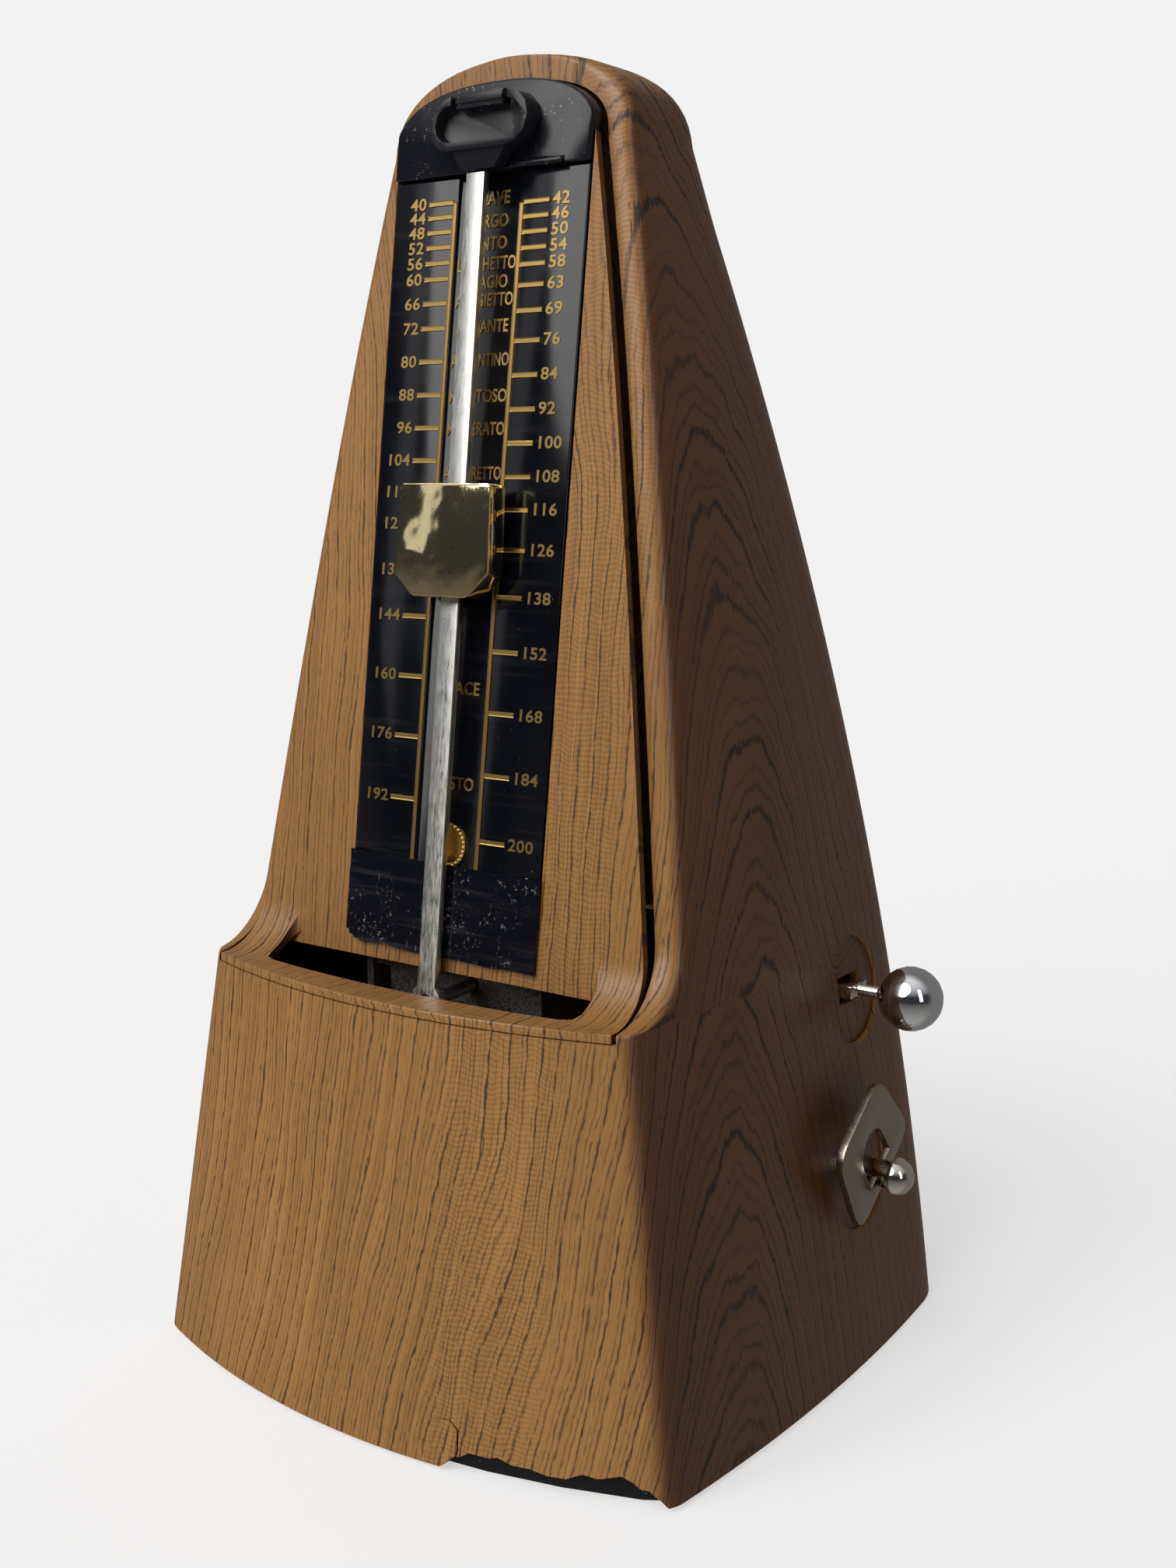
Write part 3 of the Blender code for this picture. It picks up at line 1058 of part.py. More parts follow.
def bell_selector():
    """The pull bar that sets how many beats pass between bell strokes, with its ball knob."""
    wide, tall = SELECTOR_BAR
    start = PLATE_RIGHT_X - 0.008
    end = KNOB_X - KNOB_RADIUS - GAP
    bar = place(box_mesh("selector_bar", (start, -wide / 2, -tall / 2), (end - 0.004, wide / 2, tall / 2)),
                "selector_bar", "nickel", Matrix.Translation((0, SELECTOR_Y, SELECTOR_Z)))
    neck = cylinder_mesh("selector_neck", 0.0011, 0.008, 16)
    spot = Matrix.Translation((end - 0.004, SELECTOR_Y, SELECTOR_Z)) @ ALONG_X
    combine(bar, place_cutter(neck, "selector_neck", spot), "UNION")
    profile = [(KNOB_RADIUS * math.sin(math.radians(a)), KNOB_RADIUS * math.cos(math.radians(a)))
               for a in range(0, 151, 15)]
    back = -KNOB_RADIUS * math.cos(math.radians(30))
    profile += [(KNOB_NECK_RADIUS, back - 0.0004), (0, back - 0.0004)]
    matrix = Matrix.Translation((KNOB_X, SELECTOR_Y, SELECTOR_Z)) @ ALONG_X
    knob = turned("selector_knob", "chrome", profile, 28, matrix)
    socket = cylinder_mesh("knob_socket", 0.0011 + BORE_CLEARANCE, 0.004, 16)
    spot = Matrix.Translation((end + 0.0015, SELECTOR_Y, SELECTOR_Z)) @ ALONG_X
    combine(knob, place_cutter(socket, "knob_socket", spot), "DIFFERENCE")


def bell_and_hammer():
    spot = Matrix.Translation((BELL_X, BELL_Y, 0))
    rim, top, hole = BELL_RIM_Z, BELL_RIM_Z + BELL_HEIGHT, BELL_POST_RADIUS * 0.6 + BORE_CLEARANCE
    shape = [(0.30, 1.0), (0.62, 0.9), (0.86, 0.62), (0.96, 0.3), (1.0, 0.0)]
    outer = [(BELL_RADIUS * r, rim + BELL_HEIGHT * h) for r, h in shape]
    inner = [(BELL_RADIUS * r - BELL_WALL, rim + BELL_HEIGHT * h - (BELL_WALL if h else 0)) for r, h in shape]
    profile = [(hole, top), *outer, *reversed(inner), (hole, top - BELL_WALL), (hole, top)]
    turned("bell", "nickel", profile, 32, spot)
    foot = TRAY_FLOOR + GAP
    seat = top - BELL_WALL - GAP
    stud = BELL_POST_RADIUS * 0.6
    profile = [(0, top + 0.002), (stud, top + 0.002), (stud, seat), (BELL_POST_RADIUS, seat),
               (BELL_POST_RADIUS, foot + 0.002), (0.005, foot + 0.002), (0.005, foot), (0, foot)]
    turned("bell_post", "steel", profile, 16, spot)
    low = top + GAP
    profile = [(stud + BORE_CLEARANCE, low + 0.0016), (0.0030, low + 0.0016), (0.0030, low),
               (stud + BORE_CLEARANCE, low), (stud + BORE_CLEARANCE, low + 0.0016)]
    turned("bell_nut", "brass", profile, 6, spot)
    y, z = HAMMER_PIVOT
    head = Vector(HAMMER_HEAD) - Vector(HAMMER_PIVOT)
    way = head.normalized()
    side = Vector((-way.y, way.x)) * 0.0008
    arm = [tuple(side), tuple(head + side), tuple(head - side), tuple(-side)]
    spot = Matrix.Translation((HAMMER_X, y, z)) @ OUTLINE_TO_YZ
    hub = place(outline_mesh("bell_hammer", [circle(0.0026, 16)], 0.0040), "bell_hammer", "brass", spot)
    combine(hub, place_cutter(outline_mesh("hammer_arm", [arm], 0.0016), "hammer_arm", spot), "UNION")
    knock = cylinder_mesh("hammer_head", HAMMER_HEAD_RADIUS, 0.0046, 16)
    combine(hub, place_cutter(knock, "hammer_head", spot @ Matrix.Translation((head.x, head.y, 0))), "UNION")
    tail = [(0.0004, 0.0010), (0.0010, -0.0004), (0.0050, 0.0006), (0.0048, 0.0016)]
    over_cam = spot @ Matrix.Translation((0, 0, -0.0010))
    combine(hub, place_cutter(outline_mesh("hammer_tail", [tail], 0.0050), "hammer_tail", over_cam), "UNION")
    bore = hole_along_x("hammer_bore", ARBOR_RADIUS + BORE_CLEARANCE, HAMMER_X, y, z, 0.02, 16)
    combine(hub, bore, "DIFFERENCE")
    along_x("hammer_pin", "steel", ARBOR_RADIUS, PLATE_RIGHT_X, HAMMER_X + 0.0035, y, z, 16)


# ---- The whole metronome

shell = case_shell()
shell_bosses(shell)
front_panel()
scale_plate()
top_bezel()
pendulum_catch()
cover_tape()
base_tray()
base_screws()
feet()
pendulum()
sliding_weight()
winding_arbor()
winding_key()
ratchet_and_click()
movement_frame()
going_train()
crown_wheel()
spring_barrel()
beat_cams()
bell_selector()
bell_and_hammer()
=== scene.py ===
import json
import math

import bpy
from mathutils import Matrix, Vector, noise


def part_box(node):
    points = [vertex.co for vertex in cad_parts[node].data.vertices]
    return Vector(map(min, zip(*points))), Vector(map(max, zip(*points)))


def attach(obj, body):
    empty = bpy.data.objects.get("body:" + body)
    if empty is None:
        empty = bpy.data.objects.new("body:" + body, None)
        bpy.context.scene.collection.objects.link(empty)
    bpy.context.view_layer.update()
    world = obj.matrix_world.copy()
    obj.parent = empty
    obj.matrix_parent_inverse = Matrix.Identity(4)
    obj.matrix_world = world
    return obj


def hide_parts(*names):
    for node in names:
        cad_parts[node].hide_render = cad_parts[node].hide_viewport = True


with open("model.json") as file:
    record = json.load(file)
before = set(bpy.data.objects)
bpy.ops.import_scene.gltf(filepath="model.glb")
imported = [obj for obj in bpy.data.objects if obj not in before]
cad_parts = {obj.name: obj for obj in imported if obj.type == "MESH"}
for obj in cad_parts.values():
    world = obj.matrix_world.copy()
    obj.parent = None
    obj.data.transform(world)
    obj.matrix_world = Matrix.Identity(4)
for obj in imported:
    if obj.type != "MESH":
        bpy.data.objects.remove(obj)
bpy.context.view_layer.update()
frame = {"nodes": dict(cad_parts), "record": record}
nodes = frame["nodes"]

# Camera. It stands a little above the case, in front and to the right of it, where a hand would hold it.
bpy.ops.object.select_all(action="DESELECT")
AZIMUTH, ELEVATION, ROLL = math.radians(34.943), math.radians(10.273), math.radians(-0.292)
CAMERA_PLACE, FOCAL_LENGTH_MM = (0.1913, -0.2624, 0.1609), 41.354
ahead = Vector((-math.sin(AZIMUTH) * math.cos(ELEVATION), math.cos(AZIMUTH) * math.cos(ELEVATION),
                -math.sin(ELEVATION)))
across = ahead.cross(Vector((0, 0, 1))).normalized()
upward = across.cross(ahead)
across, upward = (across * math.cos(ROLL) + upward * math.sin(ROLL),
                  upward * math.cos(ROLL) - across * math.sin(ROLL))
turn = Matrix((across, upward, -ahead)).transposed().to_4x4()
bpy.ops.object.camera_add()
camera = bpy.context.object
camera.name = "camera"
camera.matrix_world = Matrix.Translation(CAMERA_PLACE) @ turn
camera.data.sensor_fit = "VERTICAL"
camera.data.sensor_height = 36.0
camera.data.lens = FOCAL_LENGTH_MM
camera.data.clip_start = 0.01
camera.data.clip_end = 60.0
bpy.context.scene.camera = camera
bpy.context.scene.view_settings.view_transform = "Standard"


# Floor and light. A plain white sheet far wider than the case, a broad soft key from the front left,
# a room that is darker on the right, and two softboxes that only the gloss and the metal pick up.
def linear(hex_colour):
    """An sRGB hex colour as linear red, green, blue and alpha."""
    parts = [int(hex_colour[i:i + 2], 16) / 255 for i in (1, 3, 5)]
    return tuple(c / 12.92 if c <= 0.04045 else ((c + 0.055) / 1.055) ** 2.4 for c in parts) + (1.0,)


def add_node(tree, kind, settings=None, links=None, **values):
    """Add a node: attributes from values, socket values from settings, and links into its sockets."""
    made = tree.nodes.new(kind)
    for name, value in values.items():
        setattr(made, name, value)
    for socket, value in (settings or {}).items():
        made.inputs[socket].default_value = value
    for socket, source in (links or {}).items():
        tree.links.new(source, made.inputs[socket])
    return made


def new_material(name, **shader_values):
    """A material whose Principled shader takes the given constants; returns it, its tree and the shader."""
    made = bpy.data.materials.new(name)
    made.use_nodes = True
    tree = made.node_tree
    shader = tree.nodes["Principled BSDF"]
    for socket, value in shader_values.items():
        shader.inputs[socket.replace("_", " ")].default_value = value
    return made, tree, shader


FLOOR_HALF, BELOW_FEET = 15.0, 0.0002
bpy.ops.mesh.primitive_plane_add(size=2 * FLOOR_HALF, location=(0, 0, -BELOW_FEET))
floor = bpy.context.object
floor.name = "floor"
bpy.ops.object.transform_apply(location=True, rotation=True, scale=True)
# The sheet is lit from below as well, as on a light table, so that shadows on it stay pale.
sheet, _, _ = new_material("white_paper_sheet", Base_Color=linear("#a0a0a0"), Roughness=1.0,
                           Specular_IOR_Level=0.0, Emission_Color=linear("#ffffff"), Emission_Strength=0.57)
floor.data.materials.append(sheet)
floor.visible_glossy = False

bpy.ops.object.light_add(type="SUN", rotation=(math.radians(47), 0, math.radians(-14)))
key_light = bpy.context.object
key_light.name = "key_light"
key_light.data.energy = 2.5
key_light.data.angle = math.radians(50)
key_light.data.color = (1.0, 0.99, 0.97)
BOX_AIM = Vector((0, 0, 0.11))
for name, place, size, power in (("left_softbox", (-0.86, -0.70, 0.62), (0.22, 0.9), 0.4),
                                 ("right_softbox", (0.95, -0.45, 0.55), (0.20, 0.8), 2.0)):
    aim = (BOX_AIM - Vector(place)).to_track_quat("-Z", "Y").to_euler()
    bpy.ops.object.light_add(type="AREA", location=place, rotation=aim)
    box = bpy.context.object
    box.name = name
    box.data.shape = "RECTANGLE"
    box.data.size, box.data.size_y = size
    box.data.energy = power
    box.visible_diffuse = False

world = bpy.data.worlds.new("studio_room")
bpy.context.scene.world = world
world.use_nodes = True
room = world.node_tree
toward = add_node(room, "ShaderNodeTexCoord")
way = add_node(room, "ShaderNodeSeparateXYZ", links={0: toward.outputs["Generated"]})
dim = add_node(room, "ShaderNodeMapRange", {1: -0.5, 2: 0.75, 3: 0.62, 4: 0.10}, {0: way.outputs[0]},
               interpolation_type="SMOOTHSTEP")
lit = room.nodes["Background"]
lit.inputs["Color"].default_value = linear("#f4f4f6")
room.links.new(dim.outputs[0], lit.inputs["Strength"])
# What gloss and metal mirror: a dark studio with a bright ceiling, and the pale table below.
rise = add_node(room, "ShaderNodeMapRange", {1: -1.0, 2: 1.0, 3: 0.0, 4: 1.0}, {0: way.outputs[2]})
mirrored = add_node(room, "ShaderNodeValToRGB", links={0: rise.outputs[0]})
stops = mirrored.color_ramp.elements
ROOM_COLOURS = ((0.0, "#b4b2ae"), (1.0, "#d8dadd"), (0.44, "#6a6865"), (0.50, "#3c3d40"), (0.68, "#3a3c40"))
room_stops = (stops[0], stops[1], stops.new(0.48), stops.new(0.52), stops.new(0.64))
for stop, (position, colour) in zip(room_stops, ROOM_COLOURS):
    stop.position = position
    stop.color = linear(colour)
# Behind the case the studio is one even grey.
behind = add_node(room, "ShaderNodeMapRange", {1: -0.05, 2: 0.35}, {0: way.outputs[1]})
backdrop = add_node(room, "ShaderNodeMix", {7: linear("#84827f")},
                    {0: behind.outputs[0], 6: mirrored.outputs[0]}, data_type="RGBA")
gloss_room = add_node(room, "ShaderNodeBackground", {"Strength": 0.9}, {"Color": backdrop.outputs[2]})
seen = add_node(room, "ShaderNodeBackground", {"Color": linear("#f2f2f2"), "Strength": 1.0})
path = add_node(room, "ShaderNodeLightPath")
glossed = add_node(room, "ShaderNodeMixShader",
                   links={0: path.outputs["Is Glossy Ray"], 1: lit.outputs[0], 2: gloss_room.outputs[0]})
pick = add_node(room, "ShaderNodeMixShader",
                links={0: path.outputs["Is Camera Ray"], 1: glossed.outputs[0], 2: seen.outputs[0]})
room.links.new(pick.outputs[0], room.nodes["World Output"].inputs["Surface"])


# Case cover. One moulded ABS shell, open at the front and below, with an oak-print film wrapped round it.
# It is a skin of rings from the foot to the domed top, thickened inwards, and then cut as the real one is.
def deselect():
    for thing in bpy.context.selected_objects:
        thing.select_set(False)


def make_active(thing):
    deselect()
    thing.select_set(True)
    bpy.context.view_layer.objects.active = thing


def apply_all(thing):
    """Apply every modifier on a piece, in order."""
    make_active(thing)
    for step in list(thing.modifiers):
        bpy.ops.object.modifier_apply(modifier=step.name)


def remove(thing):
    bpy.data.objects.remove(thing)


FOOT_Z, LEDGE_Z, SHOULDER_Z, APEX_Z = 0.0006, 0.0737, 0.2120, 0.2266
# Each size has three values: at the foot, at the ledge and at the shoulder.
FRONT_HALF, MIDDLE_HALF = (0.0560, 0.0451, 0.0245), (0.0600, 0.0503, 0.0253)
REAR_HALF = (0.0575, 0.0485, 0.0250)
FRONT_Y, REAR_Y = (-0.0478, -0.0425, -0.0325), (0.0500, 0.0440, 0.0120)
FRONT_BOW, REAR_BOW = (0.0113, 0.0078, 0.0040), (0.0085, 0.0070, 0.0015)
FRONT_CORNER, REAR_CORNER, WALL = 0.0035, 0.0100, 0.0025
RIM_Y, RIM_SLOPE, RIM_WIDTH, ARCH_POWER = -0.04115, 0.1367, 0.0042, 2.4


def at_height(sizes, z):
    """The curve through a size's values at the foot, the ledge and the shoulder."""
    mid, high = LEDGE_Z, SHOULDER_Z
    return (sizes[0] * (z - mid) * (z - high) / (mid * high)
            + sizes[1] * z * (z - high) / (mid * (mid - high))
            + sizes[2] * z * (z - mid) / (high * (high - mid)))


def rim_y(z):
    return RIM_Y + RIM_SLOPE * z


def side_x(y, z):
    """Half the case's width at a depth and a height."""
    front, rear = at_height(FRONT_Y, z), at_height(REAR_Y, z)
    half_front, half_rear = at_height(FRONT_HALF, z), at_height(REAR_HALF, z)
    bow = at_height(MIDDLE_HALF, z) - (half_front + half_rear) / 2
    t = (y - front) / (rear - front)
    return half_front + (half_rear - half_front) * t + bow * 4 * t * (1 - t)


def half_plan(z, corner_y, bow, squeeze=1.0, pull=0.0):
    """Half of a plan section, from the front's middle round the +X side to the rear's middle."""
    rear_y = at_height(REAR_Y, z) - pull
    rear_bow = at_height(REAR_BOW, z) * squeeze

    def side(y):
        return side_x(y, z) * squeeze

    half_front, half_rear = side(corner_y), side(rear_y)
    near, far = min(FRONT_CORNER, half_front / 2), min(REAR_CORNER, half_rear / 2, (rear_y - corner_y) / 3)

    def front(x):
        return corner_y - bow * (1 - (x / max(half_front, 1e-6)) ** 2)

    def rear(x):
        return rear_y + rear_bow * (1 - (x / max(half_rear, 1e-6)) ** 2)

    def corner(start, middle, end, steps):
        start, middle, end = Vector(start), Vector(middle), Vector(end)
        shares = [k / steps for k in range(steps + 1)]
        return [start.lerp(middle, k).lerp(middle.lerp(end, k), k) for k in shares]

    points = [Vector((x, front(x))) for x in [(half_front - near) * i / 22 for i in range(22)]]
    points += corner((half_front - near, front(half_front - near)), (half_front, corner_y),
                     (side(corner_y + near), corner_y + near), 8)
    low, high = corner_y + near, rear_y - far
    points += [Vector((side(y), y)) for y in [low + (high - low) * i / 24 for i in range(1, 24)]]
    points += corner((side(high), high), (half_rear, rear_y), (half_rear - far, rear(half_rear - far)), 8)
    points += [Vector((x, rear(x))) for x in [(half_rear - far) * (1 - i / 10) for i in range(1, 11)]]
    return points


# A level is its height, its front corners' depth, the front's bow, and how far the dome squeezes it in and
# pulls its rear forward.
EDGE_ROUND, DOME_PULL = 0.0006, 0.0045
DOME_TURNS = (5, 10, 16, 22, 28, 34, 40, 46, 52, 58, 64, 70, 75, 80, 84, 87, 89, 90)
levels = [(z, at_height(FRONT_Y, z), at_height(FRONT_BOW, z), 1.0, 0.0)
          for z in [FOOT_Z + (LEDGE_Z - EDGE_ROUND - FOOT_Z) * i / 24 for i in range(25)]]
for turn in [math.radians(a) for a in (30, 60)]:
    z = LEDGE_Z - EDGE_ROUND * (1 - math.sin(turn))
    eased = at_height(FRONT_Y, z) + EDGE_ROUND * (1 - math.cos(turn))
    levels.append((z, eased, at_height(FRONT_BOW, z), 1.0, 0.0))
fillet = rim_y(LEDGE_Z) - at_height(FRONT_Y, LEDGE_Z)
for turn in [math.radians(a) for a in range(4, 91, 6)]:
    z, share = LEDGE_Z + fillet * (1 - math.cos(turn)), 1 - math.sin(turn)
    levels.append((z, rim_y(z) - fillet * share, FRONT_BOW[1] * share, 1.0, 0.0))
start = levels[-1][0]
levels += [(z, rim_y(z), 0.0, 1.0, 0.0) for z in
           [start + (SHOULDER_Z - start) * i / 36 for i in range(1, 37)]]
for turn in [math.radians(a) for a in DOME_TURNS]:
    share, rise = math.cos(turn) ** (2 / ARCH_POWER), math.sin(turn) ** (2 / ARCH_POWER)
    z = SHOULDER_Z + rise * (APEX_Z - SHOULDER_Z)
    level = at_height(MIDDLE_HALF, SHOULDER_Z) / at_height(MIDDLE_HALF, z)
    levels.append((z, rim_y(z), 0.0, max(share, 0.0) * level, DOME_PULL * math.sin(turn) ** 4))
rings = []
for z, corner_y, bow, squeeze, pull in levels:
    right = half_plan(z, corner_y, bow, squeeze, pull)
    rings.append([(p.x, p.y, z) for p in right] + [(-p.x, p.y, z) for p in reversed(right[:-1])])

deselect()
columns = len(rings[0])
bpy.ops.mesh.primitive_grid_add(x_subdivisions=columns - 1, y_subdivisions=len(rings) - 1, size=1.0)
case = bpy.context.object
case.name = "case_cover"
for vertex in case.data.vertices:
    column = round((vertex.co.x + 0.5) * (columns - 1))
    row = round((vertex.co.y + 0.5) * (len(rings) - 1))
    vertex.co = rings[row][column]
bpy.ops.object.mode_set(mode="EDIT")
bpy.ops.mesh.select_all(action="SELECT")
bpy.ops.mesh.remove_doubles(threshold=4e-6)
bpy.ops.mesh.normals_make_consistent(inside=False)
bpy.ops.object.mode_set(mode="OBJECT")
wall = case.modifiers.new("wall", "SOLIDIFY")
wall.thickness = WALL
wall.offset = -1.0
wall.material_offset = 1
wall.material_offset_rim = 1
apply_all(case)
for vertex in case.data.vertices:
    vertex.co.z = min(vertex.co.z, APEX_Z)


def cutter_from(outline, low, high, kind):
    """A closed prism on an outline: kind XZ runs along Y, kind XY runs along Z, from low to high."""
    bpy.ops.mesh.primitive_circle_add(vertices=len(outline), radius=1.0, fill_type="NGON")
    made = bpy.context.object
    for vertex, (u, v) in zip(made.data.vertices, outline):
        vertex.co = (u, low, v) if kind == "XZ" else (u, v, low)
    run = (0, high - low, 0) if kind == "XZ" else (0, 0, high - low)
    bpy.ops.object.mode_set(mode="EDIT")
    bpy.ops.mesh.select_all(action="SELECT")
    bpy.ops.mesh.extrude_region_move(TRANSFORM_OT_translate={"value": run})
    bpy.ops.mesh.select_all(action="SELECT")
    bpy.ops.mesh.normals_make_consistent(inside=False)
    bpy.ops.object.mode_set(mode="OBJECT")
    return made


def cut(piece, cutter):
    """Cut a piece with a closed cutter, and remove the cutter."""
    step = piece.modifiers.new("cut", "BOOLEAN")
    step.operation = "DIFFERENCE"
    step.solver = "EXACT"
    step.object = cutter
    apply_all(piece)
    remove(cutter)


def arch_half(z, half, height):
    """The arch's half width at a height above the shoulder."""
    sine = min(1.0, max(0.0, (z - SHOULDER_Z) / height)) ** (ARCH_POWER / 2)
    return half * math.sqrt(max(0.0, 1 - sine * sine)) ** (2 / ARCH_POWER)


def window_half(z, edge):
    """Half the front opening's width at a height, a given distance inside the case's outline."""
    if z <= SHOULDER_Z:
        return side_x(rim_y(z), z) - edge
    return arch_half(z, side_x(rim_y(SHOULDER_Z), SHOULDER_Z) - edge, APEX_Z - edge - SHOULDER_Z)


SHELF_LIP = 0.0016
lip_z = LEDGE_Z - SHELF_LIP
top_z = APEX_Z - RIM_WIDTH
heights = [lip_z + (SHOULDER_Z - lip_z) * i / 40 for i in range(40)]
heights += [SHOULDER_Z + (top_z - SHOULDER_Z) * math.sin(math.radians(a)) ** (2 / ARCH_POWER)
            for a in range(0, 90, 4)]
right = [(window_half(z, RIM_WIDTH), z) for z in heights] + [(0.0, top_z)]
left = [(-x, z) for x, z in reversed(right[:-1])]
CUT_FRONT, WINDOW_REACH = -0.09, -0.003
cut(case, cutter_from(right + left, CUT_FRONT, WINDOW_REACH, "XZ"))

# The recesses round the key and the knob are shallow, so that a finger gets behind each.
KEY_Y, KEY_Z, KEY_RECESS, KEY_BORE = 0.0160, 0.0352, 0.0110, 0.0036
KNOB_Y, KNOB_Z, KNOB_RECESS, KNOB_SLOT = 0.0213, 0.0665, 0.0098, (0.02, 0.0080, 0.0050)
RECESS_CUTTER, RECESS_OUT = 0.010, 0.0039
for y, z, radius in ((KEY_Y, KEY_Z, KEY_RECESS), (KNOB_Y, KNOB_Z, KNOB_RECESS)):
    lean = (side_x(y, z + 0.005) - side_x(y, z - 0.005)) / 0.01
    outward = Vector((1, 0, -lean)).normalized()
    bpy.ops.mesh.primitive_cylinder_add(vertices=72, radius=radius, depth=RECESS_CUTTER)
    recess = bpy.context.object
    recess.matrix_world = (Matrix.Translation(Vector((side_x(y, z), y, z)) + outward * RECESS_OUT)
                           @ outward.to_track_quat("Z", "Y").to_matrix().to_4x4())
    cut(case, recess)
bpy.ops.mesh.primitive_cylinder_add(vertices=48, radius=KEY_BORE, depth=0.02, location=(0.058, KEY_Y, KEY_Z),
                                    rotation=(0, math.radians(90), 0))
cut(case, bpy.context.object)
slot_x = side_x(KNOB_Y, KNOB_Z)
bpy.ops.mesh.primitive_cube_add(size=1.0, location=(slot_x, KNOB_Y, KNOB_Z), scale=KNOB_SLOT)
cut(case, bpy.context.object)

# A piece has broken out of the lower front edge, and a hairline crack runs up from its left end.
# The chip's edge: along the foot in metres, and up as a share of the chip's height.
CHIP_X, CHIP_HEIGHT = 0.0190, 0.0040
ragged = [(-0.003, -0.4), (0, 0.1), (0.0012, 0.50), (0.003, 0.62), (0.0045, 0.86), (0.008, 0.85),
          (0.0095, 0.97), (0.012, 0.78), (0.015, 0.80), (0.018, 0.66), (0.021, 0.68), (0.0235, 0.98),
          (0.026, 0.90), (0.0295, 1.15), (0.0312, 0.98), (0.0325, 0.75), (0.0338, 0.72), (0.0355, 0.3),
          (0.0375, -0.4)]
chip = [(CHIP_X + x, FOOT_Z + CHIP_HEIGHT * share) for x, share in ragged]
cut(case, cutter_from(chip, -0.07, -0.035, "XZ"))
crack = [(0.0205, 0.0010), (0.0213, 0.0040), (0.0211, 0.0072), (0.0196, 0.0086), (0.0150, 0.0079),
         (0.0197, 0.0088), (0.0214, 0.0074), (0.0216, 0.0040), (0.0210, 0.0010)]
cut(case, cutter_from(crack, -0.075, -0.0560, "XZ"))
bpy.ops.object.shade_smooth_by_angle(angle=math.radians(32))


def film_place(point, normal):
    """Where a point lies on the film, in millimetres round from the front's middle line, and its height."""
    x, y, z = point
    front_edge = at_height(FRONT_Y, z) if z < LEDGE_Z else rim_y(z)
    back_edge = at_height(REAR_Y, z)
    half = side_x(min(max(y, front_edge), back_edge), z)
    on_panel = z > LEDGE_Z - 0.0005 and abs(x) < window_half(max(z, LEDGE_Z), RIM_WIDTH)
    forward = 0.0 if on_panel else max(0.0, y - front_edge)
    fall = max(0.0, front_edge - y) if z > LEDGE_Z - 0.0005 else 0.0
    if y > back_edge - 0.003 and abs(normal.y) > 0.6:
        round_it = half + (back_edge - front_edge) + (half - abs(x))
        round_it = round_it if x > 0 else -round_it
        return (round_it * 1000, z * 1000)
    return (math.copysign(abs(x) + forward, x) * 1000, (z - fall) * 1000)


def lay_film(piece):
    """Write the film's place to the piece's UV map, and how far each corner is round on the side, the mask
    for the film's painted side shade.
    """
    mesh = piece.data
    mesh.uv_layers.new(name="film")
    mesh.attributes.new("side_shade_mask", "FLOAT", "CORNER")
    uv, side = mesh.uv_layers["film"], mesh.attributes["side_shade_mask"]
    normals = [corner.vector.copy() for corner in mesh.corner_normals]
    for loop in mesh.loops:
        point, normal = mesh.vertices[loop.vertex_index].co, normals[loop.index]
        s, t = film_place(point, normal)
        uv.data[loop.index].uv = (s / 1000, t / 1000)
        side.data[loop.index].value = min(1.0, max(0.0, (abs(normal.x) - 0.50) / 0.35))


